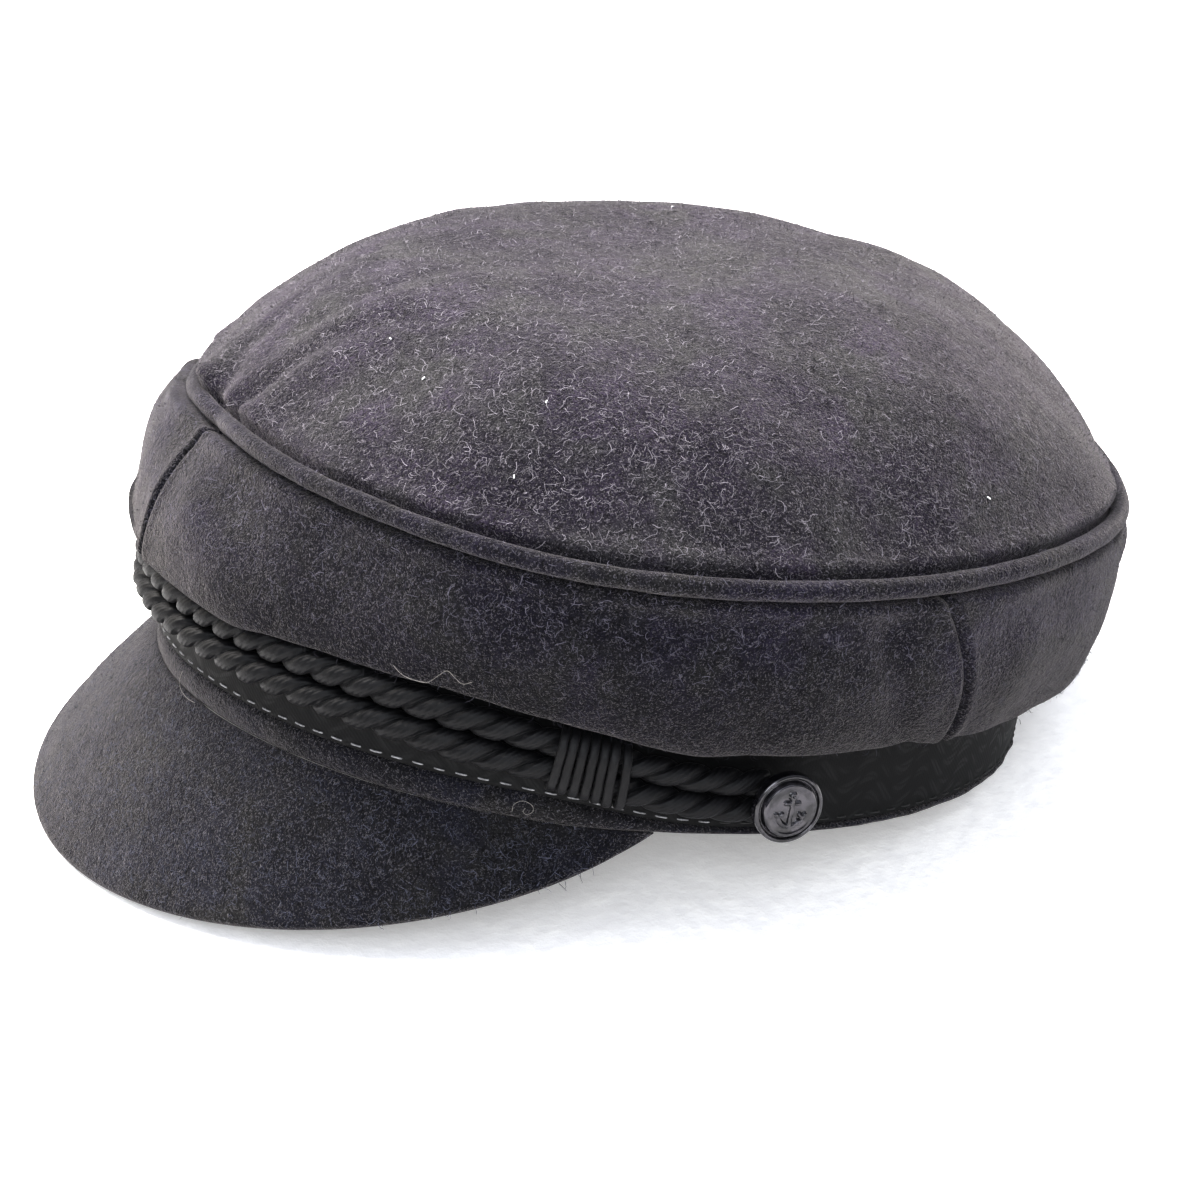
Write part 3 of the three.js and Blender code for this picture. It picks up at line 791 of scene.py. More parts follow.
# Peak
def peak_mesh():
    """The peak's sheet with a rounded outer edge, thinner where its ends run out to points."""
    columns = 170
    rows = 38
    edge_steps = 9
    sweep = np.linspace(-PEAK_END_SWEEP, PEAK_END_SWEEP, columns)
    edge = peak_face(sweep, 0 * sweep)
    edge_normal = peak_normal(sweep, 0 * sweep)
    width = np.linalg.norm(peak_face(sweep, 0 * sweep + 1) - edge, axis=-1)
    round_off = np.minimum(PEAK_THICKNESS / 2, 0.3 * width)[:, None]
    grid_share = 1 - (1 - round_off / width[:, None]) * np.linspace(0, 1, rows)
    grid_sweep = sweep[:, None] + 0 * grid_share
    over = peak_face(grid_sweep, grid_share)
    normal = peak_normal(grid_sweep, grid_share)
    to_edge = np.linalg.norm(over - edge[:, None], axis=-1)
    reach = np.linalg.norm(over - over[:, :1], axis=-1)
    wave = undulation(over, 24, 0.16, 21) + undulation(over, 8, 0.05, 22)
    wave -= 0.5 * bell(to_edge, 1.8) + 0.2 * bell(to_edge - 4.5, 2.2)
    wave *= np.clip(reach / 3, 0, 1) * np.clip(width / 12, 0, 1)[:, None]
    top = over + normal * wave[..., None]
    under = over - normal * (2 * round_off)[..., None]
    outward = unit(edge - over[:, -1])
    middle = edge - (edge_normal + outward) * round_off
    arc = []
    for k in range(1, edge_steps):
        angle = math.pi / 2 - math.pi * k / edge_steps
        arc.append(middle + (outward * math.cos(angle) + edge_normal * math.sin(angle)) * round_off)
    return tube(np.concatenate([top, np.stack(arc, 1), under[:, ::-1]], 1), False)


# Ropes, wraps and buttons
ROPE_CENTRE_OUT = RIBBON_WALL + 2 * GAP + ROPE_DIAMETER / 2
ROPE_END_TURN = BUTTON_TURN - math.degrees((SHANK_DIAMETER / 2 + GAP) / (BAND_WIDTH / 2))
LAID_SPACING = 6.1
LAID_LOWER = 0.35
ROPE_PITCH = 13.2
LOBE_OFFSET = 1.2
LOBE_RADIUS = 1.8
LOBE_BREADTH = 2.25
LOBES = 2
ROPE_SLIMMING = 0.11
SLIM_TURNS = (48, 62)


def rope_slim(turn):
    """The ropes draw together between the bound slides and the buttons."""
    return 1 - ROPE_SLIMMING * smooth_step(from_front(turn), *SLIM_TURNS)


def rope_middle(turn, side):
    lower = LAID_LOWER * (1 - smooth_step(from_front(turn), *SLIM_TURNS))
    return trim("line", turn) - lower + side * LAID_SPACING / 2 * rope_slim(turn)


def rope_mesh(side, phase):
    """Plump strands laid round one another, with coordinates round and along each strand."""
    turns = np.linspace(-ROPE_END_TURN, ROPE_END_TURN, ROPE_STEPS)
    centre = band_point(turns, ROPE_CENTRE_OUT, rope_middle(turns, side))
    along = unit(np.gradient(centre, axis=0))
    outward = outward_at(turns)
    outward = unit(outward - along * np.sum(outward * along, -1, keepdims=True))
    up = np.cross(outward, along)
    up *= np.sign(up[:, 2:3])
    lengths = passed_lengths(centre)
    share = np.arange(ROPE_SIDES) / ROPE_SIDES
    within = np.mod(share * LOBES, 1.0) - 0.5
    off = within * 2 * np.pi / LOBES
    # the far side of an oval strand whose middle lies off the rope's own
    spread = (np.cos(off) / LOBE_RADIUS) ** 2 + (np.sin(off) / LOBE_BREADTH) ** 2
    shift = LOBE_OFFSET * np.cos(off) / LOBE_RADIUS**2
    radius = (shift + np.sqrt(shift**2 - spread * ((LOBE_OFFSET / LOBE_RADIUS) ** 2 - 1))) / spread
    rng = np.random.default_rng(33 + side)
    swell = 0.03 * undulation(centre, 11, 1, 35 + side)[:, None] * np.cos(off)
    plump = radius * (rope_slim(turns)[:, None] + swell)
    jitter = np.cumsum(rng.normal(0, 0.012, ROPE_STEPS))
    lay = 2 * np.pi * lengths / ROPE_PITCH + phase + jitter
    theta = lay[:, None] + 2 * np.pi * share
    rings = rings_along(centre, outward, up, plump * np.cos(theta), plump * np.sin(theta))
    coordinate = np.zeros(rings.shape)
    coordinate[..., 0] = off[None, :] * 2.0
    coordinate[..., 2] = lengths[:, None]
    return tube(rings, False), coordinate.reshape(-1, 3)


WRAP_CORD_RADIUS = WRAP_WIDTH / WRAP_TURNS / 2
WRAP_CORD_GROW = 0.62
WRAP_BREADTH = 0.97
WRAP_DEPTH = 0.8
WRAP_SQUARENESS = 0.7
WRAP_FAN = 1.1


def rounded(value):
    """Squares off a circle, so that a cord is flat with rounded sides."""
    return np.sign(value) * np.abs(value) ** WRAP_SQUARENESS


def wrap_mesh(centre_turn):
    """Turns of cord bound round the front of both ropes, their ends tucked in behind."""
    half_inside = (LAID_SPACING / 2 + LOBE_OFFSET + LOBE_RADIUS) * 0.9
    front_inside = ROPE_CENTRE_OUT + LOBE_OFFSET + LOBE_RADIUS
    back_out = RIBBON_WALL + 2 * GAP
    corner = ROPE_DIAMETER / 2
    radius = corner + WRAP_CORD_GROW
    swing = math.degrees(WRAP_WIDTH / (BAND_WIDTH / 2 + front_inside))
    section = [(back_out + 0.9, -(half_inside + WRAP_CORD_GROW) * 0.93)]
    section.append((front_inside - corner - 1.2, -(half_inside + WRAP_CORD_GROW)))
    for angle in np.linspace(-90, 0, 9):
        section.append(
            (
                front_inside - corner + radius * math.cos(math.radians(angle)),
                -(half_inside - corner) + radius * math.sin(math.radians(angle)),
            )
        )
    section = np.array(section)
    upper = section[::-1] * np.array([1, -1])
    middle = np.linspace(section[-1], upper[0], 8)[1:-1]
    section = np.concatenate([section, middle, upper])
    rng = np.random.default_rng(31)
    parts = []
    coordinates = []
    angle = circle(WRAP_SIDES)
    half_breadth = WRAP_CORD_RADIUS * WRAP_BREADTH * rounded(np.cos(angle))
    half_depth = WRAP_CORD_RADIUS * WRAP_DEPTH * rounded(np.sin(angle))
    backward = math.copysign(1, centre_turn)
    rising = np.linspace(0, 1, len(section))
    for k in range(WRAP_TURNS):
        turn = centre_turn + backward * swing * ((k + 0.5) / WRAP_TURNS - 0.5)
        fan = WRAP_FAN * (1 - k / (WRAP_TURNS - 1)) * (1 - rising) ** 1.5
        sway = 0.06 * rng.normal() * np.sin(np.pi * rising)
        turns = turn - backward * (fan + sway * swing / WRAP_TURNS * 2)
        grow = rng.uniform(-0.12, 0.16)
        height = trim("line", turns) + section[:, 1] * (1 + grow / 8)
        path = band_point(turns, section[:, 0] + grow, height)
        along = unit(np.gradient(path, axis=0))
        ahead = band_point(turns + 0.5, section[:, 0], 0)
        side = unit(ahead - band_point(turns - 0.5, section[:, 0], 0))
        side = unit(side - along * np.sum(side * along, -1, keepdims=True))
        over = np.cross(side, along)
        rings = rings_along(path, side, over, half_breadth, half_depth)
        parts.append(tube(rings, False))
        coordinate = np.zeros(rings.shape)
        coordinate[..., 0] = angle[None, :]
        coordinate[..., 2] = passed_lengths(path)[:, None] + 100 * k
        coordinates.append(coordinate.reshape(-1, 3))
    return join_parts(parts), np.concatenate(coordinates)


def segment_distance(x, y, x0, y0, x1, y1):
    dx, dy = x1 - x0, y1 - y0
    share = np.clip(((x - x0) * dx + (y - y0) * dy) / (dx * dx + dy * dy), 0, 1)
    return np.hypot(x - x0 - share * dx, y - y0 - share * dy)


def anchor_relief(x, y):
    """Height share of a plain anchor: ring, shank, stock, curved arms and two flukes."""
    ring = np.abs(np.hypot(x, y - 3.55) - 0.62) - 0.27
    shank = segment_distance(x, y, 0, 2.9, 0, -3.6) - 0.42
    stock = segment_distance(x, y, -1.7, 1.9, 1.7, 1.9) - 0.34
    arc_radius = 3.15
    arc = np.abs(np.hypot(x, y + 0.55) - arc_radius) - 0.4
    arc = np.where(y < -1.55, arc, 1.0)
    flukes = np.minimum(
        segment_distance(np.abs(x), y, 2.95, -1.5, 2.2, -0.75),
        segment_distance(np.abs(x), y, 2.95, -1.5, 3.6, -0.9),
    ) - 0.36
    nearest = np.minimum.reduce([ring, shank, stock, arc, flukes])
    return 1 - smooth_step(nearest, -0.12, 0.3)


BUTTON_FACE_SHARE = 0.93


def button_mesh(side):
    """Rim, groove and raised disc with a relief that shows wear, on a short shank."""
    radius = BUTTON_DIAMETER / 2
    # radius and height of the turned face, from the centre outwards
    profile = np.array(
        [
            [0.0, 0.55], [1.5, 0.55], [3.0, 0.52], [4.2, 0.48], [4.9, 0.62], [5.3, 0.78], [5.7, 0.66],
            [5.95, 0.1], [6.15, -0.45], [6.4, -0.5], [6.6, -0.1], [6.8, 0.02], [7.15, 0.02], [7.35, -0.12],
        ]
    )
    fine = np.concatenate([np.linspace(0.12, 5.4, 34), np.linspace(5.5, 7.35, 22)])
    height = np.interp(fine, profile[:, 0], profile[:, 1])
    kernel = np.array([0.25, 0.5, 0.25])
    height[1:-1] = np.convolve(height, kernel, "valid")
    angle = circle(BUTTON_SIDES)
    grid_radius, grid_angle = np.meshgrid(fine, angle)
    x = grid_radius * np.sin(grid_angle)
    y = grid_radius * np.cos(grid_angle)
    inside = 1 - smooth_step(grid_radius, 4.4, 4.9)
    wear_and_painted_shade = 0.75 + 0.25 * np.sin(1.9 * x + 0.7) * np.cos(1.4 * y - 0.4)
    relief = 0.75 * anchor_relief(1.12 * x, 1.12 * y) * inside * wear_and_painted_shade
    z = BUTTON_THICKNESS + height[None, :] + relief
    rows = [np.stack([x[:, k], y[:, k], z[:, k]], -1) for k in range(len(fine))]
    shank_length = ROPE_CENTRE_OUT + ROPE_DIAMETER / 2 - RIBBON_WALL - GAP
    shank = SHANK_DIAMETER / 2
    body = (
        (radius - 0.03, BUTTON_THICKNESS - 0.2), (radius, BUTTON_THICKNESS - 0.5), (radius, 0.7),
        (radius - 0.1, 0.3), (radius - 0.45, 0.05), (radius - 1.2, 0.0), (shank + 0.3, 0.0),
        (shank, -0.3), (shank, -shank_length),
    )
    for r, h in body:
        rows.append(np.stack([r * np.sin(angle), r * np.cos(angle), h + 0 * angle], -1))
    grid = np.stack(rows, 1)
    turn = np.array(side * BUTTON_TURN)
    outward = outward_at(turn)
    up = np.array([0, 0, 1.0])
    across = np.cross(up, outward)
    seat = ROPE_CENTRE_OUT + ROPE_DIAMETER / 2 + GAP
    place = band_point(turn, seat, trim("line", turn))
    grid[..., :2] *= BUTTON_FACE_SHARE
    points = place + grid[..., :1] * across + grid[..., 1:2] * up + grid[..., 2:] * outward
    return tube(points.transpose(1, 0, 2), False)


# Loose wool fibres on each cloth: count, shortest, longest, lift and half width in millimetres
FIBRE_SETS = {
    "dome": (31000, 0.5, 2.6, 0.22, 0.055),
    "side": (5600, 0.5, 2.5, 0.18, 0.053),
    "peak": (8000, 0.5, 2.2, 0.14, 0.05),
    "piping": (3600, 0.4, 1.6, 0.12, 0.05),
}
FIBRE_CURL = 1.9


def fibres(grid, normals, cloth, seed):
    """Thin curly flat strips spread evenly over a grid of points, each with a tone of its own."""
    count, shortest, longest, lift, half_width = FIBRE_SETS[cloth]
    rng = np.random.default_rng(seed)
    corner = grid[:-1, :-1]
    u_edge = grid[1:, :-1] - corner
    v_edge = grid[:-1, 1:] - corner
    area = np.linalg.norm(np.cross(u_edge, v_edge), axis=-1)
    cells = rng.choice(area.size, count, p=(area / area.sum()).ravel())
    ci, cj = np.unravel_index(cells, area.shape)
    share = rng.uniform(size=(count, 2))
    place = corner[ci, cj] + u_edge[ci, cj] * share[:, :1] + v_edge[ci, cj] * share[:, 1:]
    normal = normals[ci, cj]
    tangent = unit(np.cross(normal, rng.normal(size=(count, 3))))
    side = np.cross(normal, tangent)
    steps = 4
    length = rng.uniform(shortest, longest, count)
    bend = rng.normal(0, FIBRE_CURL, count)
    wobble = rng.normal(0, 0.4 * FIBRE_CURL, (count, steps))
    heading = bend[:, None] * np.linspace(0, 1, steps) + np.cumsum(wobble, 1) / steps
    step = length[:, None] / (steps - 1)
    forward = np.cumsum(np.cos(heading) * step, 1)
    sideways = np.cumsum(np.sin(heading) * step, 1)
    top = rng.exponential(lift, count) + 0.06
    arch = np.sin(np.linspace(0.12, 0.95, steps) * np.pi)
    free = rng.uniform(size=count) < 0.3
    rising = np.linspace(0.1, 1, steps) ** 1.4
    height = np.where(free[:, None], rising, arch) * top[:, None]
    path = (
        place[:, None, :]
        + tangent[:, None, :] * forward[..., None]
        + side[:, None, :] * sideways[..., None]
        + normal[:, None, :] * height[..., None]
    )
    along = unit(np.gradient(path, axis=1))
    across = unit(np.cross(along, normal[:, None, :] + 1e-3))
    wide = half_width * rng.uniform(0.7, 1.3, count)[:, None] * np.linspace(1, 0.55, steps)
    edge = across * wide[..., None]
    points = np.stack([path - edge, path + edge], 2)
    base = (np.arange(count) * steps * 2)[:, None]
    i = np.arange(steps - 1)[None, :] * 2
    quads = np.stack([base + i, base + i + 1, base + i + 3, base + i + 2], -1)
    tone = np.zeros(points.shape)
    tone[..., 0] = rng.uniform(size=count)[:, None, None]
    faces = [tuple(quad) for quad in quads.reshape(-1, 4).tolist()]
    return (points.reshape(-1, 3), faces), tone.reshape(-1, 3)


# Lint on the top: plan place and length in millimetres
LINT_PLACES = (
    (36, -67, 0.9), (66, -61, 0.8), (57, -52, 0.7), (89, 29, 1.0),
    (21, -68, 0.6), (-30, 20, 0.9), (-62, -30, 0.8),
)
# Each hair: turn, distance out from the band and height at its points
HAIRS = (
    (
        (41, 8.3, 27.2), (42.2, 8.8, 26.1), (43.6, 8.9, 25.7), (45, 8.8, 25.9), (46.1, 8.8, 27.8),
        (46.9, 8.9, 29.0), (47.7, 9.0, 28.2), (48.6, 9.0, 27.2), (49.6, 8.9, 27.9),
    ),
    ((5.2, 1.6, 3.4), (5.5, 2.2, 1.8), (6.8, 2.8, 0.7), (8.8, 3.0, 0.2), (10.5, 2.8, 0.3)),
    (
        (55.2, 1.9, 1.2), (55.3, 2.2, 2.8), (56.2, 2.4, 3.9), (57.2, 2.4, 3.4),
        (57.5, 2.3, 2.2), (56.9, 2.2, 1.2), (56.4, 2.1, 1.6), (56.6, 2.1, 2.4),
    ),
    ((318, 8.4, 27.0), (316, 9.2, 25.6), (313, 9.4, 25.4), (311, 9.2, 26.8)),
)
HAIR_RADIUS = 0.055


def thread_tube(path, radius, sides=5):
    along = unit(np.gradient(path, axis=0))
    side = unit(np.cross(along, [0.3, 0.2, 0.93]))
    over = np.cross(side, along)
    angle = circle(sides)
    return tube(rings_along(path, side, over, radius * np.cos(angle), radius * np.sin(angle)), False)


def hair_parts():
    parts = []
    for hair in HAIRS:
        points = np.array(hair, float)
        smooth = spline(points[None], np.linspace(0, 1, 48))
        parts.append(thread_tube(band_point(smooth[:, 0], smooth[:, 1], smooth[:, 2]), HAIR_RADIUS))
    return join_parts(parts)


def lint_parts(grid, normals):
    parts = []
    rng = np.random.default_rng(81)
    for x, y, length in LINT_PLACES:
        apart = np.hypot(grid[..., 0] - x, grid[..., 1] - y)
        nearest = np.unravel_index(np.argmin(apart), apart.shape)
        place = grid[nearest] + normals[nearest] * 0.25
        along = unit(np.cross(normals[nearest], rng.normal(size=3)))
        half = along * length / 2
        parts.append(capsule(place - half, place + half, normals[nearest], 0.17, 0.1))
    return join_parts(parts)


# Materials
def set_sockets(tree, node, values):
    """Gives each socket its value, or links it to the socket given for it."""
    for name, value in values.items():
        if isinstance(value, bpy.types.NodeSocket):
            tree.links.new(value, node.inputs[name])
        else:
            node.inputs[name].default_value = value


def new_node(tree, kind, values, **settings):
    node = tree.nodes.new("ShaderNode" + kind)
    for name, value in settings.items():
        setattr(node, name, value)
    set_sockets(tree, node, values)
    return node


def new_material(name):
    material = bpy.data.materials.new(name)
    material.use_nodes = True
    tree = material.node_tree
    return material, tree, tree.nodes["Principled BSDF"]


def noise(tree, coordinates, scale, detail, roughness, distortion, seed):
    values = {"Vector": coordinates, "W": seed, "Scale": scale, "Detail": detail}
    values.update({"Roughness": roughness, "Distortion": distortion})
    return new_node(tree, "TexNoise", values, noise_dimensions="4D").outputs["Fac"]


def math_node(tree, operation, first, second=0.5, clamp=False):
    sockets = {0: first, 1: second}
    return new_node(tree, "Math", sockets, operation=operation, use_clamp=clamp).outputs[0]


def weighted(tree, *parts):
    """The sum of some values, each times its weight."""
    shares = [math_node(tree, "MULTIPLY", value, weight) for value, weight in parts]
    total = shares[0]
    for share in shares[1:]:
        total = math_node(tree, "ADD", total, share)
    return total


def map_range(tree, value, low, high, to_low=0.0, to_high=1.0):
    values = {"Value": value, "From Min": low, "From Max": high}
    values.update({"To Min": to_low, "To Max": to_high})
    return new_node(tree, "MapRange", values, interpolation_type="SMOOTHSTEP").outputs["Result"]


def mix_colour(tree, factor, first, second):
    node = new_node(tree, "Mix", {0: factor}, data_type="RGBA")
    numbers = [number for number, socket in enumerate(node.inputs) if socket.type == "RGBA"]
    pair = [(*value, 1) if isinstance(value, tuple) else value for value in (first, second)]
    set_sockets(tree, node, dict(zip(numbers, pair)))
    return [socket for socket in node.outputs if socket.type == "RGBA"][0]


def bump(tree, height, distance, strength):
    values = {"Height": height, "Distance": distance, "Strength": strength}
    return new_node(tree, "Bump", values).outputs["Normal"]


def object_coordinates(tree):
    return tree.nodes.new("ShaderNodeTexCoord").outputs["Object"]


def split_xyz(tree, vector):
    return new_node(tree, "SeparateXYZ", {0: vector}).outputs


def combine(tree, x, y):
    return new_node(tree, "CombineXYZ", {0: x, 1: y, 2: 0.0}).outputs[0]


def cloth_numbers(tree):
    """What the points of a piece carry: a fibre's tone, or the place round and along a cord."""
    attribute = new_node(tree, "Attribute", {}, attribute_name="cloth")
    return split_xyz(tree, attribute.outputs["Vector"])


def wave(tree, coordinates, scale, direction):
    values = {"Vector": coordinates, "Scale": scale, "Distortion": 0.0, "Detail": 0.0}
    node = new_node(tree, "TexWave", values, wave_type="BANDS", bands_direction=direction)
    return node.outputs["Fac"]


def fibre_lines(tree, coordinates, scale, width, seed, cover):
    """Broken curly lines: the level lines of a distorted noise, cut up by a second noise."""
    field = noise(tree, coordinates, scale, 1.0, 0.5, 1.2, seed)
    distance = math_node(tree, "ABSOLUTE", math_node(tree, "SUBTRACT", field, 0.5))
    line = map_range(tree, distance, 0.0, width, 1.0, 0.0)
    broken = noise(tree, coordinates, scale * 1.7, 1.0, 0.5, 0.0, seed + 5)
    return math_node(tree, "MULTIPLY", line, map_range(tree, broken, 1 - cover, 1.08 - cover))


def cap_coordinates(tree):
    """The way round the band and the height over its lower edge, both in metres."""
    back = tuple(-(TURN_TO_ROW.T @ ROW_SHIFT) / 1000)
    values = {"Vector": object_coordinates(tree), "Rotation": (LEAN, 0, 0), "Location": back}
    level = new_node(tree, "Mapping", values, vector_type="POINT").outputs["Vector"]
    x, y, z = split_xyz(tree, level)
    turn = math_node(tree, "ARCTAN2", x, math_node(tree, "MULTIPLY", y, -1.0))
    return math_node(tree, "MULTIPLY", turn, (BAND_LENGTH + BAND_WIDTH) / 4 / 1000), z


def fold_shaded(tree, colour, folded):
    """Painted shade: the crown's side is darkened towards the fold at its lower edge."""
    if not folded:
        return colour
    height = cap_coordinates(tree)[1]
    # Painted shade: this mask darkens the lower side towards its fold
    wear_and_painted_shade = map_range(tree, height, *FOLD_SHADE_HEIGHTS, FOLD_SHADE_SHARE, 0.0)
    return mix_colour(tree, wear_and_painted_shade, colour, FOLD_SHADE_COLOUR)


def wool_material(name, dark, light, fibre, folded=False):
    """Felted wool: clouds of purple and grey, fine pits and a dense layer of curly pale fibres."""
    material, tree, shader = new_material(name)
    place = object_coordinates(tree)
    cloudy = noise(tree, place, 48, 3.0, 0.55, 0.3, 1.0)
    patchy = noise(tree, place, 330, 3.0, 0.6, 0.5, 2.0)
    lumps = noise(tree, place, 1200, 2.0, 0.7, 0.8, 3.0)
    pits = noise(tree, place, 2700, 2.0, 0.7, 0.6, 6.0)
    hue = noise(tree, place, 62, 2.0, 0.5, 0.4, 7.0)
    greyer = (light[1] * 1.12, light[1] * 1.12, light[1] * 1.16)
    lit = mix_colour(tree, map_range(tree, hue, 0.42, 0.58), light, greyer)
    blend = weighted(tree, (cloudy, 0.6), (patchy, 0.4))
    base = mix_colour(tree, map_range(tree, blend, 0.38, 0.62), dark, lit)
    shaded = tuple(channel * 0.22 for channel in dark)
    base = mix_colour(tree, map_range(tree, lumps, 0.30, 0.50), shaded, base)
    base = mix_colour(tree, map_range(tree, pits, 0.36, 0.54), shaded, base)
    lines = fibre_lines(tree, place, 420, 0.028, 4.0, 0.36)
    lines = math_node(tree, "MAXIMUM", lines, fibre_lines(tree, place, 800, 0.048, 14.0, 0.42))
    fine = fibre_lines(tree, place, 1500, 0.085, 24.0, 0.46)
    lines = math_node(tree, "MAXIMUM", lines, math_node(tree, "MULTIPLY", fine, 0.6), clamp=True)
    colour = mix_colour(tree, math_node(tree, "MULTIPLY", lines, 0.7), base, fibre)
    height = weighted(tree, (lumps, 0.8), (lines, 0.6), (patchy, 0.9), (pits, 0.35))
    looks = {"Base Color": fold_shaded(tree, colour, folded), "Normal": bump(tree, height, 0.0007, 0.9)}
    looks.update({"Roughness": 0.95, "Specular IOR Level": 0.12})
    looks.update({"Sheen Weight": 0.22, "Sheen Roughness": 0.42, "Sheen Tint": (1.0, 0.93, 0.92, 1)})
    set_sockets(tree, shader, looks)
    return material


def fibre_material(name, dark, light, folded=False):
    material, tree, shader = new_material(name)
    tone = math_node(tree, "POWER", cloth_numbers(tree)["X"], 1.7)
    colour = fold_shaded(tree, mix_colour(tree, tone, dark, light), folded)
    set_sockets(tree, shader, {"Base Color": colour, "Roughness": 0.8, "Specular IOR Level": 0.2})
    return material


def ribbon_material():
    """A black jacquard: leaves are stretched cells, turned by a slow wave along the band."""
    material, tree, shader = new_material("ribbon_jacquard")
    arc, height = cap_coordinates(tree)
    swing = math_node(tree, "SINE", math_node(tree, "MULTIPLY", arc, 420.0))
    sway = math_node(tree, "MULTIPLY", swing, 0.0022)
    bent = combine(tree, arc, math_node(tree, "ADD", height, sway))
    values = {"Vector": bent, "Rotation": (0, 0, math.radians(38)), "Scale": (150, 330, 1)}
    leaning = new_node(tree, "Mapping", values).outputs["Vector"]
    values = {"Vector": leaning, "Scale": 1.0, "Randomness": 0.35}
    cells = new_node(tree, "TexVoronoi", values).outputs["Distance"]
    vein = map_range(tree, wave(tree, leaning, 0.9, "Y"), 0.1, 0.6, 0.35, 1.0)
    leaf = math_node(tree, "MULTIPLY", map_range(tree, cells, 0.28, 0.50, 1.0, 0.0), vein)
    flat = combine(tree, arc, height)
    twill = wave(tree, flat, 640, "DIAGONAL")
    cross = wave(tree, flat, 500, "X")
    weave = weighted(tree, (twill, 0.6), (cross, 0.4))
    tone = weighted(tree, (leaf, 0.7), (weave, 0.3))
    relief = weighted(tree, (leaf, 0.45), (weave, 0.35))
    looks = {"Base Color": mix_colour(tree, tone, (0.0034, 0.0035, 0.0038), (0.0062, 0.0063, 0.0068))}
    looks.update({"Roughness": map_range(tree, leaf, 0, 1, 0.72, 0.62), "Specular IOR Level": 0.16})
    looks["Normal"] = bump(tree, relief, 0.00018, 0.5)
    set_sockets(tree, shader, looks)
    return material


def cord_material(name, dark, light, yarns, lay, ridged, roughness):
    """Yarns on a strand, from its coordinates round (x, an angle) and along (z, in mm)."""
    material, tree, shader = new_material(name)
    numbers = cloth_numbers(tree)
    ridge = math_node(tree, "SINE", weighted(tree, (numbers["X"], yarns), (numbers["Z"], lay)))
    place = object_coordinates(tree)
    fine = noise(tree, place, 2600, 2.0, 0.6, 0.0, 31.0)
    patch = noise(tree, place, 240, 3.0, 0.6, 0.0, 32.0)
    tone = map_range(tree, weighted(tree, (ridge, ridged), (patch, 0.9)), 0.1, 0.75)
    height = weighted(tree, (ridge, 2.2 * ridged), (fine, 1.0))
    looks = {"Base Color": mix_colour(tree, tone, dark, light), "Normal": bump(tree, height, 0.00014, 0.7)}
    looks.update({"Roughness": roughness, "Specular IOR Level": 0.2})
    looks.update({"Sheen Weight": 0.02, "Sheen Roughness": 0.4})
    set_sockets(tree, shader, looks)
    return material


def thread_material(name, dark, light):
    material, tree, shader = new_material(name)
    grain = noise(tree, object_coordinates(tree), 1700, 2.0, 0.6, 0.0, 41.0)
    tone = map_range(tree, grain, 0.35, 0.65)
    looks = {"Base Color": mix_colour(tree, tone, dark, light), "Normal": bump(tree, tone, 0.00005, 0.7)}
    set_sockets(tree, shader, {**looks, "Roughness": 0.75})
    return material


def button_material():
    material, tree, shader = new_material("button_gunmetal")
    place = object_coordinates(tree)
    wear_and_painted_shade = noise(tree, place, 420, 4.0, 0.65, 0.4, 51.0)
    fine = noise(tree, place, 1900, 3.0, 0.6, 0.0, 52.0)
    tone = map_range(tree, wear_and_painted_shade, 0.4, 0.66)
    looks = {"Base Color": mix_colour(tree, tone, (0.007, 0.0067, 0.009), (0.044, 0.041, 0.049))}
    looks.update({"Roughness": map_range(tree, fine, 0.35, 0.7, 0.12, 0.24), "Metallic": 0.55})
    looks.update({"Normal": bump(tree, wear_and_painted_shade, 0.00012, 0.5), "Coat Weight": 0.5, "Coat Roughness": 0.12})
    set_sockets(tree, shader, looks)
    return material


def floor_material():
    """A pale table. It passes on the room's light from below, which keeps its shadows pale."""
    material, tree, shader = new_material("pale_table")
    place = object_coordinates(tree)
    cloudy = noise(tree, place, 9, 3.0, 0.6, 0.0, 61.0)
    fine = noise(tree, place, 260, 4.0, 0.7, 0.0, 62.0)
    tone = map_range(tree, weighted(tree, (cloudy, 0.4), (fine, 0.6)), 0.38, 0.62)
    looks = {"Base Color": mix_colour(tree, tone, (0.70, 0.70, 0.715), (0.88, 0.873, 0.862))}
    looks.update({"Normal": bump(tree, fine, 0.0008, 0.5), "Roughness": 0.6, "Specular IOR Level": 0.3})
    looks.update({"Emission Color": (1.0, 0.982, 0.965, 1), "Emission Strength": 0.34})
    set_sockets(tree, shader, looks)
    return material


# The cap
# Each colour goes from dark to light, and the wool's third one is that of its pale fibres
WOOL = ((0.0105, 0.0084, 0.0165), (0.0335, 0.0262, 0.0440), (0.185, 0.17, 0.20))
# Painted shade: the side's and the peak's wool are darker copies of the crown top's wool, for the less
# light that falls on them; the band and the piping use them too
WOOL_SIDE_PAINTED_SHADE = ((0.0052, 0.0048, 0.0102), (0.0165, 0.0142, 0.0268), (0.10, 0.095, 0.128))
WOOL_PEAK_PAINTED_SHADE = ((0.0044, 0.0047, 0.0086), (0.0108, 0.0113, 0.0188), (0.066, 0.069, 0.094))
DOME_FIBRE = ((0.005, 0.0045, 0.007), (0.23, 0.215, 0.24))
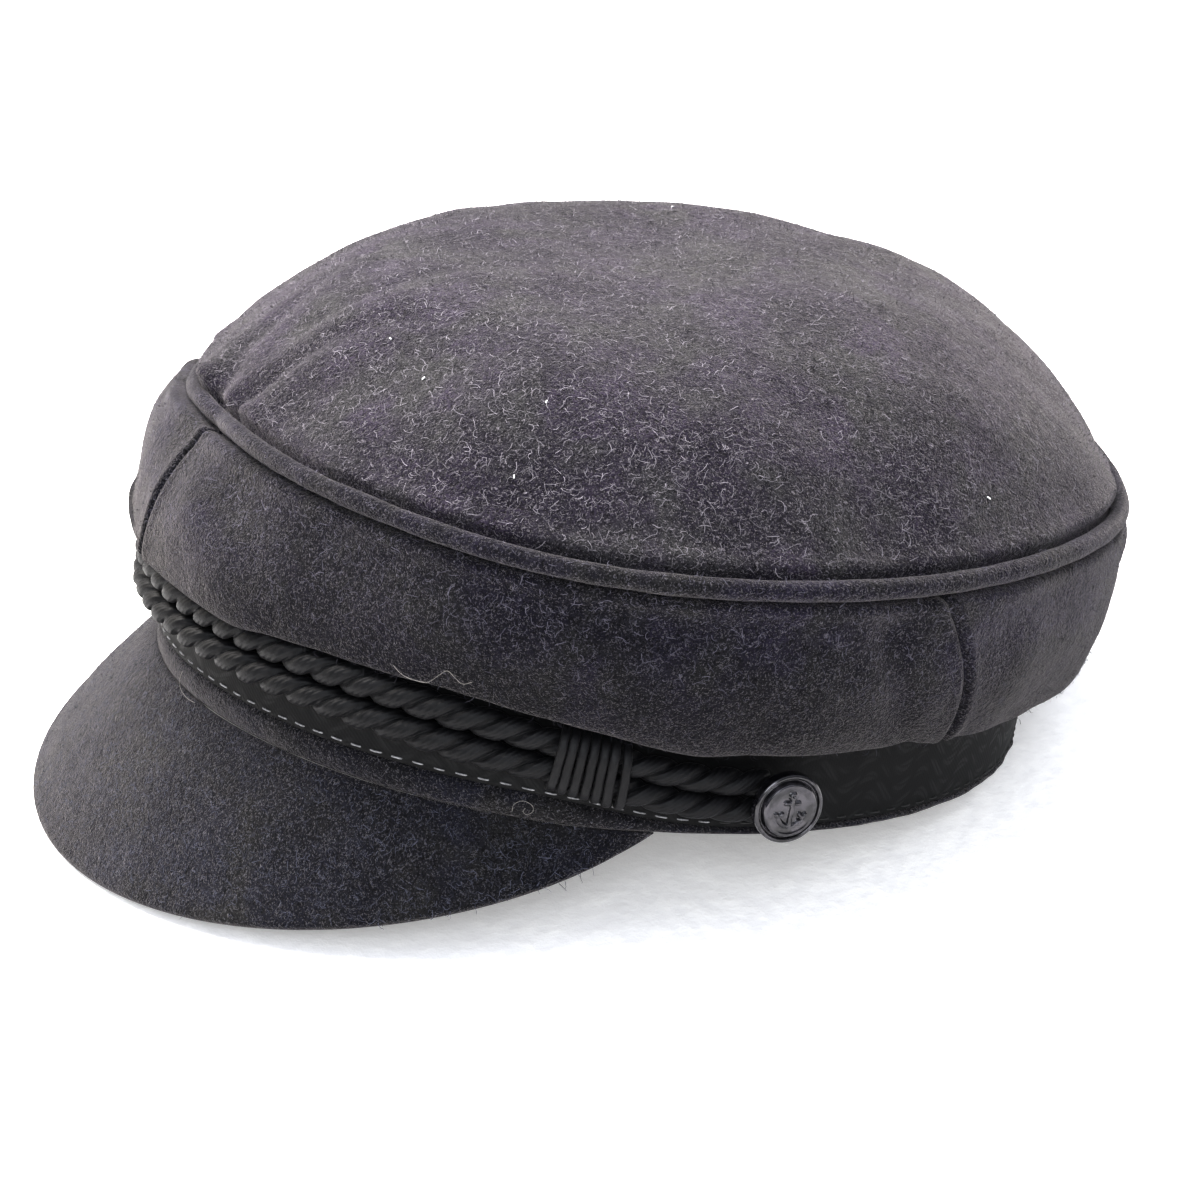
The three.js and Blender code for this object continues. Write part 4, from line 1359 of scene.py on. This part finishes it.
# Painted shade: darker copies of the dome's fibre colours, for the side and the peak
SIDE_FIBRE_PAINTED_SHADE = ((0.003, 0.003, 0.005), (0.135, 0.128, 0.162))
PEAK_FIBRE_PAINTED_SHADE = ((0.003, 0.003, 0.005), (0.08, 0.083, 0.112))
ROPE_YARN = ((0.0010, 0.0010, 0.0014), (0.0044, 0.0044, 0.0056))
WRAP_YARN = ((0.0014, 0.0014, 0.0019), (0.0056, 0.0056, 0.0066))
GREY_THREAD = ((0.11, 0.11, 0.115), (0.26, 0.26, 0.27))
# Painted shade: the rear stitches are the same grey thread, painted darker for the shade they lie in
BACK_THREAD_PAINTED_SHADE = ((0.006, 0.006, 0.006), (0.02, 0.02, 0.02))
PALE_LINT = ((0.45, 0.45, 0.46), (0.75, 0.75, 0.76))
PALE_HAIR = ((0.13, 0.125, 0.12), (0.25, 0.235, 0.22))

wool = wool_material("wool_melton", *WOOL)
wool_side_painted_shade = wool_material("wool_side_painted_shade", *WOOL_SIDE_PAINTED_SHADE, folded=True)
wool_peak_painted_shade = wool_material("wool_peak_painted_shade", *WOOL_PEAK_PAINTED_SHADE)
dome_fibre = fibre_material("wool_fibre", *DOME_FIBRE)
side_fibre_painted_shade = fibre_material("wool_fibre_side_painted_shade", *SIDE_FIBRE_PAINTED_SHADE, folded=True)
peak_fibre_painted_shade = fibre_material("wool_fibre_peak_painted_shade", *PEAK_FIBRE_PAINTED_SHADE)
ribbon = ribbon_material()
rope = cord_material("rope_yarn", *ROPE_YARN, yarns=7, lay=1.3, ridged=0.16, roughness=0.5)
wrap_cord = cord_material("wrap_yarn", *WRAP_YARN, yarns=4, lay=1.4, ridged=0.06, roughness=0.48)
thread_light = thread_material("thread_grey", *GREY_THREAD)
thread_back_painted_shade = thread_material("thread_grey_painted_shade", *BACK_THREAD_PAINTED_SHADE)
gunmetal = button_material()
lint = thread_material("lint_pale", *PALE_LINT)
hair = thread_material("hair_pale", *PALE_HAIR)

dome_outer, dome_inner = crown_dome()
add_piece("dome_cloth", sheet(dome_outer, dome_inner, domed=True), wool, ["crown_top"])


def level_turn(turn):
    return lambda share: turn + 0 * share


def right_seam(share):
    return 360 - seam_turn(share)


QUARTERS = (
    ("side_front_left", level_turn(0), seam_turn),
    ("side_rear_left", seam_turn, level_turn(180)),
    ("side_rear_right", level_turn(180), right_seam),
    ("side_front_right", right_seam, level_turn(360)),
)
side_grids = []
for node, start, end in QUARTERS:
    outer, inner = side_quarter(start, end)
    side_grids.append(outer)
    add_piece(node.replace("side", "quarter") + "_cloth", sheet(outer, inner), wool_side_painted_shade, [node])

piping = piping_mesh()
add_piece("piping_cord", piping, wool_side_painted_shade, ["crown_piping"])
add_piece("band_cloth", band_mesh(), wool_peak_painted_shade, ["head_band"])
add_piece("ribbon_cloth", ribbon_mesh(), ribbon, ["band_ribbon"])
add_piece("ribbon_stitches_front", stitches(0, 79, 61), thread_light)
# Painted shade: the rear stitches use the darkened copy of the grey thread
add_piece("ribbon_stitches_back", stitches(79, 181, 62), thread_back_painted_shade)
add_piece("peak_cloth", peak_mesh(), wool_peak_painted_shade, ["peak"])

for node, side, phase in (("rope_upper", 1, 0.4), ("rope_lower", -1, 2.2)):
    built, coordinates = rope_mesh(side, phase)
    add_piece(node + "_strands", built, rope, [node], coordinates)

for node, side in (("rope_wrap_left", 1), ("rope_wrap_right", -1)):
    built, coordinates = wrap_mesh(side * WRAP_TURN)
    add_piece(node + "_cord", built, wrap_cord, [node], coordinates)

for node, side in (("button_left", 1), ("button_right", -1)):
    piece = add_piece(node + "_face", button_mesh(side), gunmetal, [node])
    piece.data.set_sharp_from_angle(angle=math.radians(50))


def outer_normals(grid, closed, out):
    """Normals of a grid, turned the way that the given directions point on average."""
    normals = grid_normals(grid, closed)
    return normals if np.sum(normals * out) > 0 else -normals


UPWARD = np.array([0, 0, 1.0])
dome_top = dome_outer[:, 1:]
dome_normals = outer_normals(dome_top, True, UPWARD)
dome_fuzz, tones = fibres(dome_top, dome_normals, "dome", 71)
add_piece("dome_fuzz", dome_fuzz, dome_fibre, coordinates=tones, check_turn=False)
add_piece("dome_lint", lint_parts(dome_top, dome_normals), lint, check_turn=False)
add_piece("stray_hairs", hair_parts(), hair, check_turn=False)

side_fuzz = []
side_tones = []
for number, grid in enumerate(side_grids):
    cloth = grid[:, 8:-1]
    normals = outer_normals(cloth, False, cloth * np.array([1, 1, 0]))
    built, tones = fibres(cloth, normals, "side", 72 + number)
    side_fuzz.append(built)
    side_tones.append(tones)
side_tones = np.concatenate(side_tones)
add_piece("side_fuzz", join_parts(side_fuzz), side_fibre_painted_shade, coordinates=side_tones, check_turn=False)

sweeps = np.linspace(-82, 82, 90)
shares = np.linspace(0.98, 0.045, 30)
peak_grid = np.meshgrid(sweeps, shares, indexing="ij")
peak_fuzz, tones = fibres(peak_face(*peak_grid), peak_normal(*peak_grid), "peak", 77)
add_piece("peak_fuzz", peak_fuzz, peak_fibre_painted_shade, coordinates=tones, check_turn=False)

piping_grid = piping[0].reshape(RING_TURNS, -1, 3)
piping_normals = outer_normals(piping_grid, True, piping_grid - piping_grid.mean(1, keepdims=True))
piping_fuzz, tones = fibres(piping_grid, piping_normals, "piping", 78)
add_piece("piping_fuzz", piping_fuzz, side_fibre_painted_shade, coordinates=tones, check_turn=False)


# Floor, light and camera
def add_floor():
    half = 6.0
    mesh = bpy.data.meshes.new("table")
    corners = [(-half, -half, 0), (half, -half, 0), (half, half, 0), (-half, half, 0)]
    mesh.from_pydata(corners, [], [(0, 1, 2, 3)])
    mesh.materials.append(floor_material())
    new_object("table", mesh)


def set_place(thing, axes, place):
    """Turns a light or camera to its axes, the columns of a matrix, and puts it in its place."""
    matrix = Matrix.Identity(4)
    for row in range(3):
        for column in range(3):
            matrix[row][column] = axes[row][column]
        matrix[row][3] = place[row]
    thing.matrix_world = matrix


# Soft lights: name, place, what each looks at, size in metres, power in watts and colour
LIGHTS = (
    ("key_overhead", (-0.65, -0.3, 1.4), (0, 0, 0.05), 1.4, 122, (1.0, 0.965, 0.92)),
    ("side_left", (-1.1, -0.9, 0.6), (0, 0, 0.07), 0.8, 9, (1.0, 0.93, 0.82)),
    ("fill_front", (1.4, -0.7, 0.9), (0, 0, 0.05), 1.0, 22, (0.93, 0.97, 1.0)),
)


def add_light(name, place, target, size, power, colour):
    data = bpy.data.lights.new(name, "AREA")
    data.shape = "DISK"
    data.size = size
    data.energy = power
    data.color = colour
    back = unit(np.array(place, float) - np.array(target, float))
    right = unit(np.cross([0, 0, 1.0], back))
    axes = np.stack([right, np.cross(back, right), back], -1)
    set_place(new_object(name, data), axes, place)


def add_camera():
    data = bpy.data.cameras.new("camera")
    data.sensor_width = SENSOR_WIDTH
    data.lens = CAMERA_LENS
    data.clip_start = 0.01
    data.clip_end = 50
    camera = new_object("camera", data)
    axes = TURN_TO_ROW @ np.array([CAMERA_RIGHT, CAMERA_UP, CAMERA_BACK]).T
    set_place(camera, axes, to_row(np.array(CAMERA_PLACE)))
    bpy.context.scene.camera = camera


def add_world():
    """A pale room, brighter overhead than at the horizon."""
    world = bpy.data.worlds.new("soft_room")
    bpy.context.scene.world = world
    world.use_nodes = True
    tree = world.node_tree
    background = tree.nodes["Background"]
    background.inputs["Color"].default_value = (0.94, 0.975, 1.06, 1)
    height = split_xyz(tree, new_node(tree, "TexCoord", {}).outputs["Generated"])["Z"]
    overhead = map_range(tree, height, 0.05, 0.85, 0.2, 1.6)
    set_sockets(tree, background, {"Strength": overhead})


add_floor()
add_world()
for light in LIGHTS:
    add_light(*light)
add_camera()
bpy.context.scene.view_settings.view_transform = "Standard"
bpy.context.scene.view_settings.gamma = VIEW_GAMMA
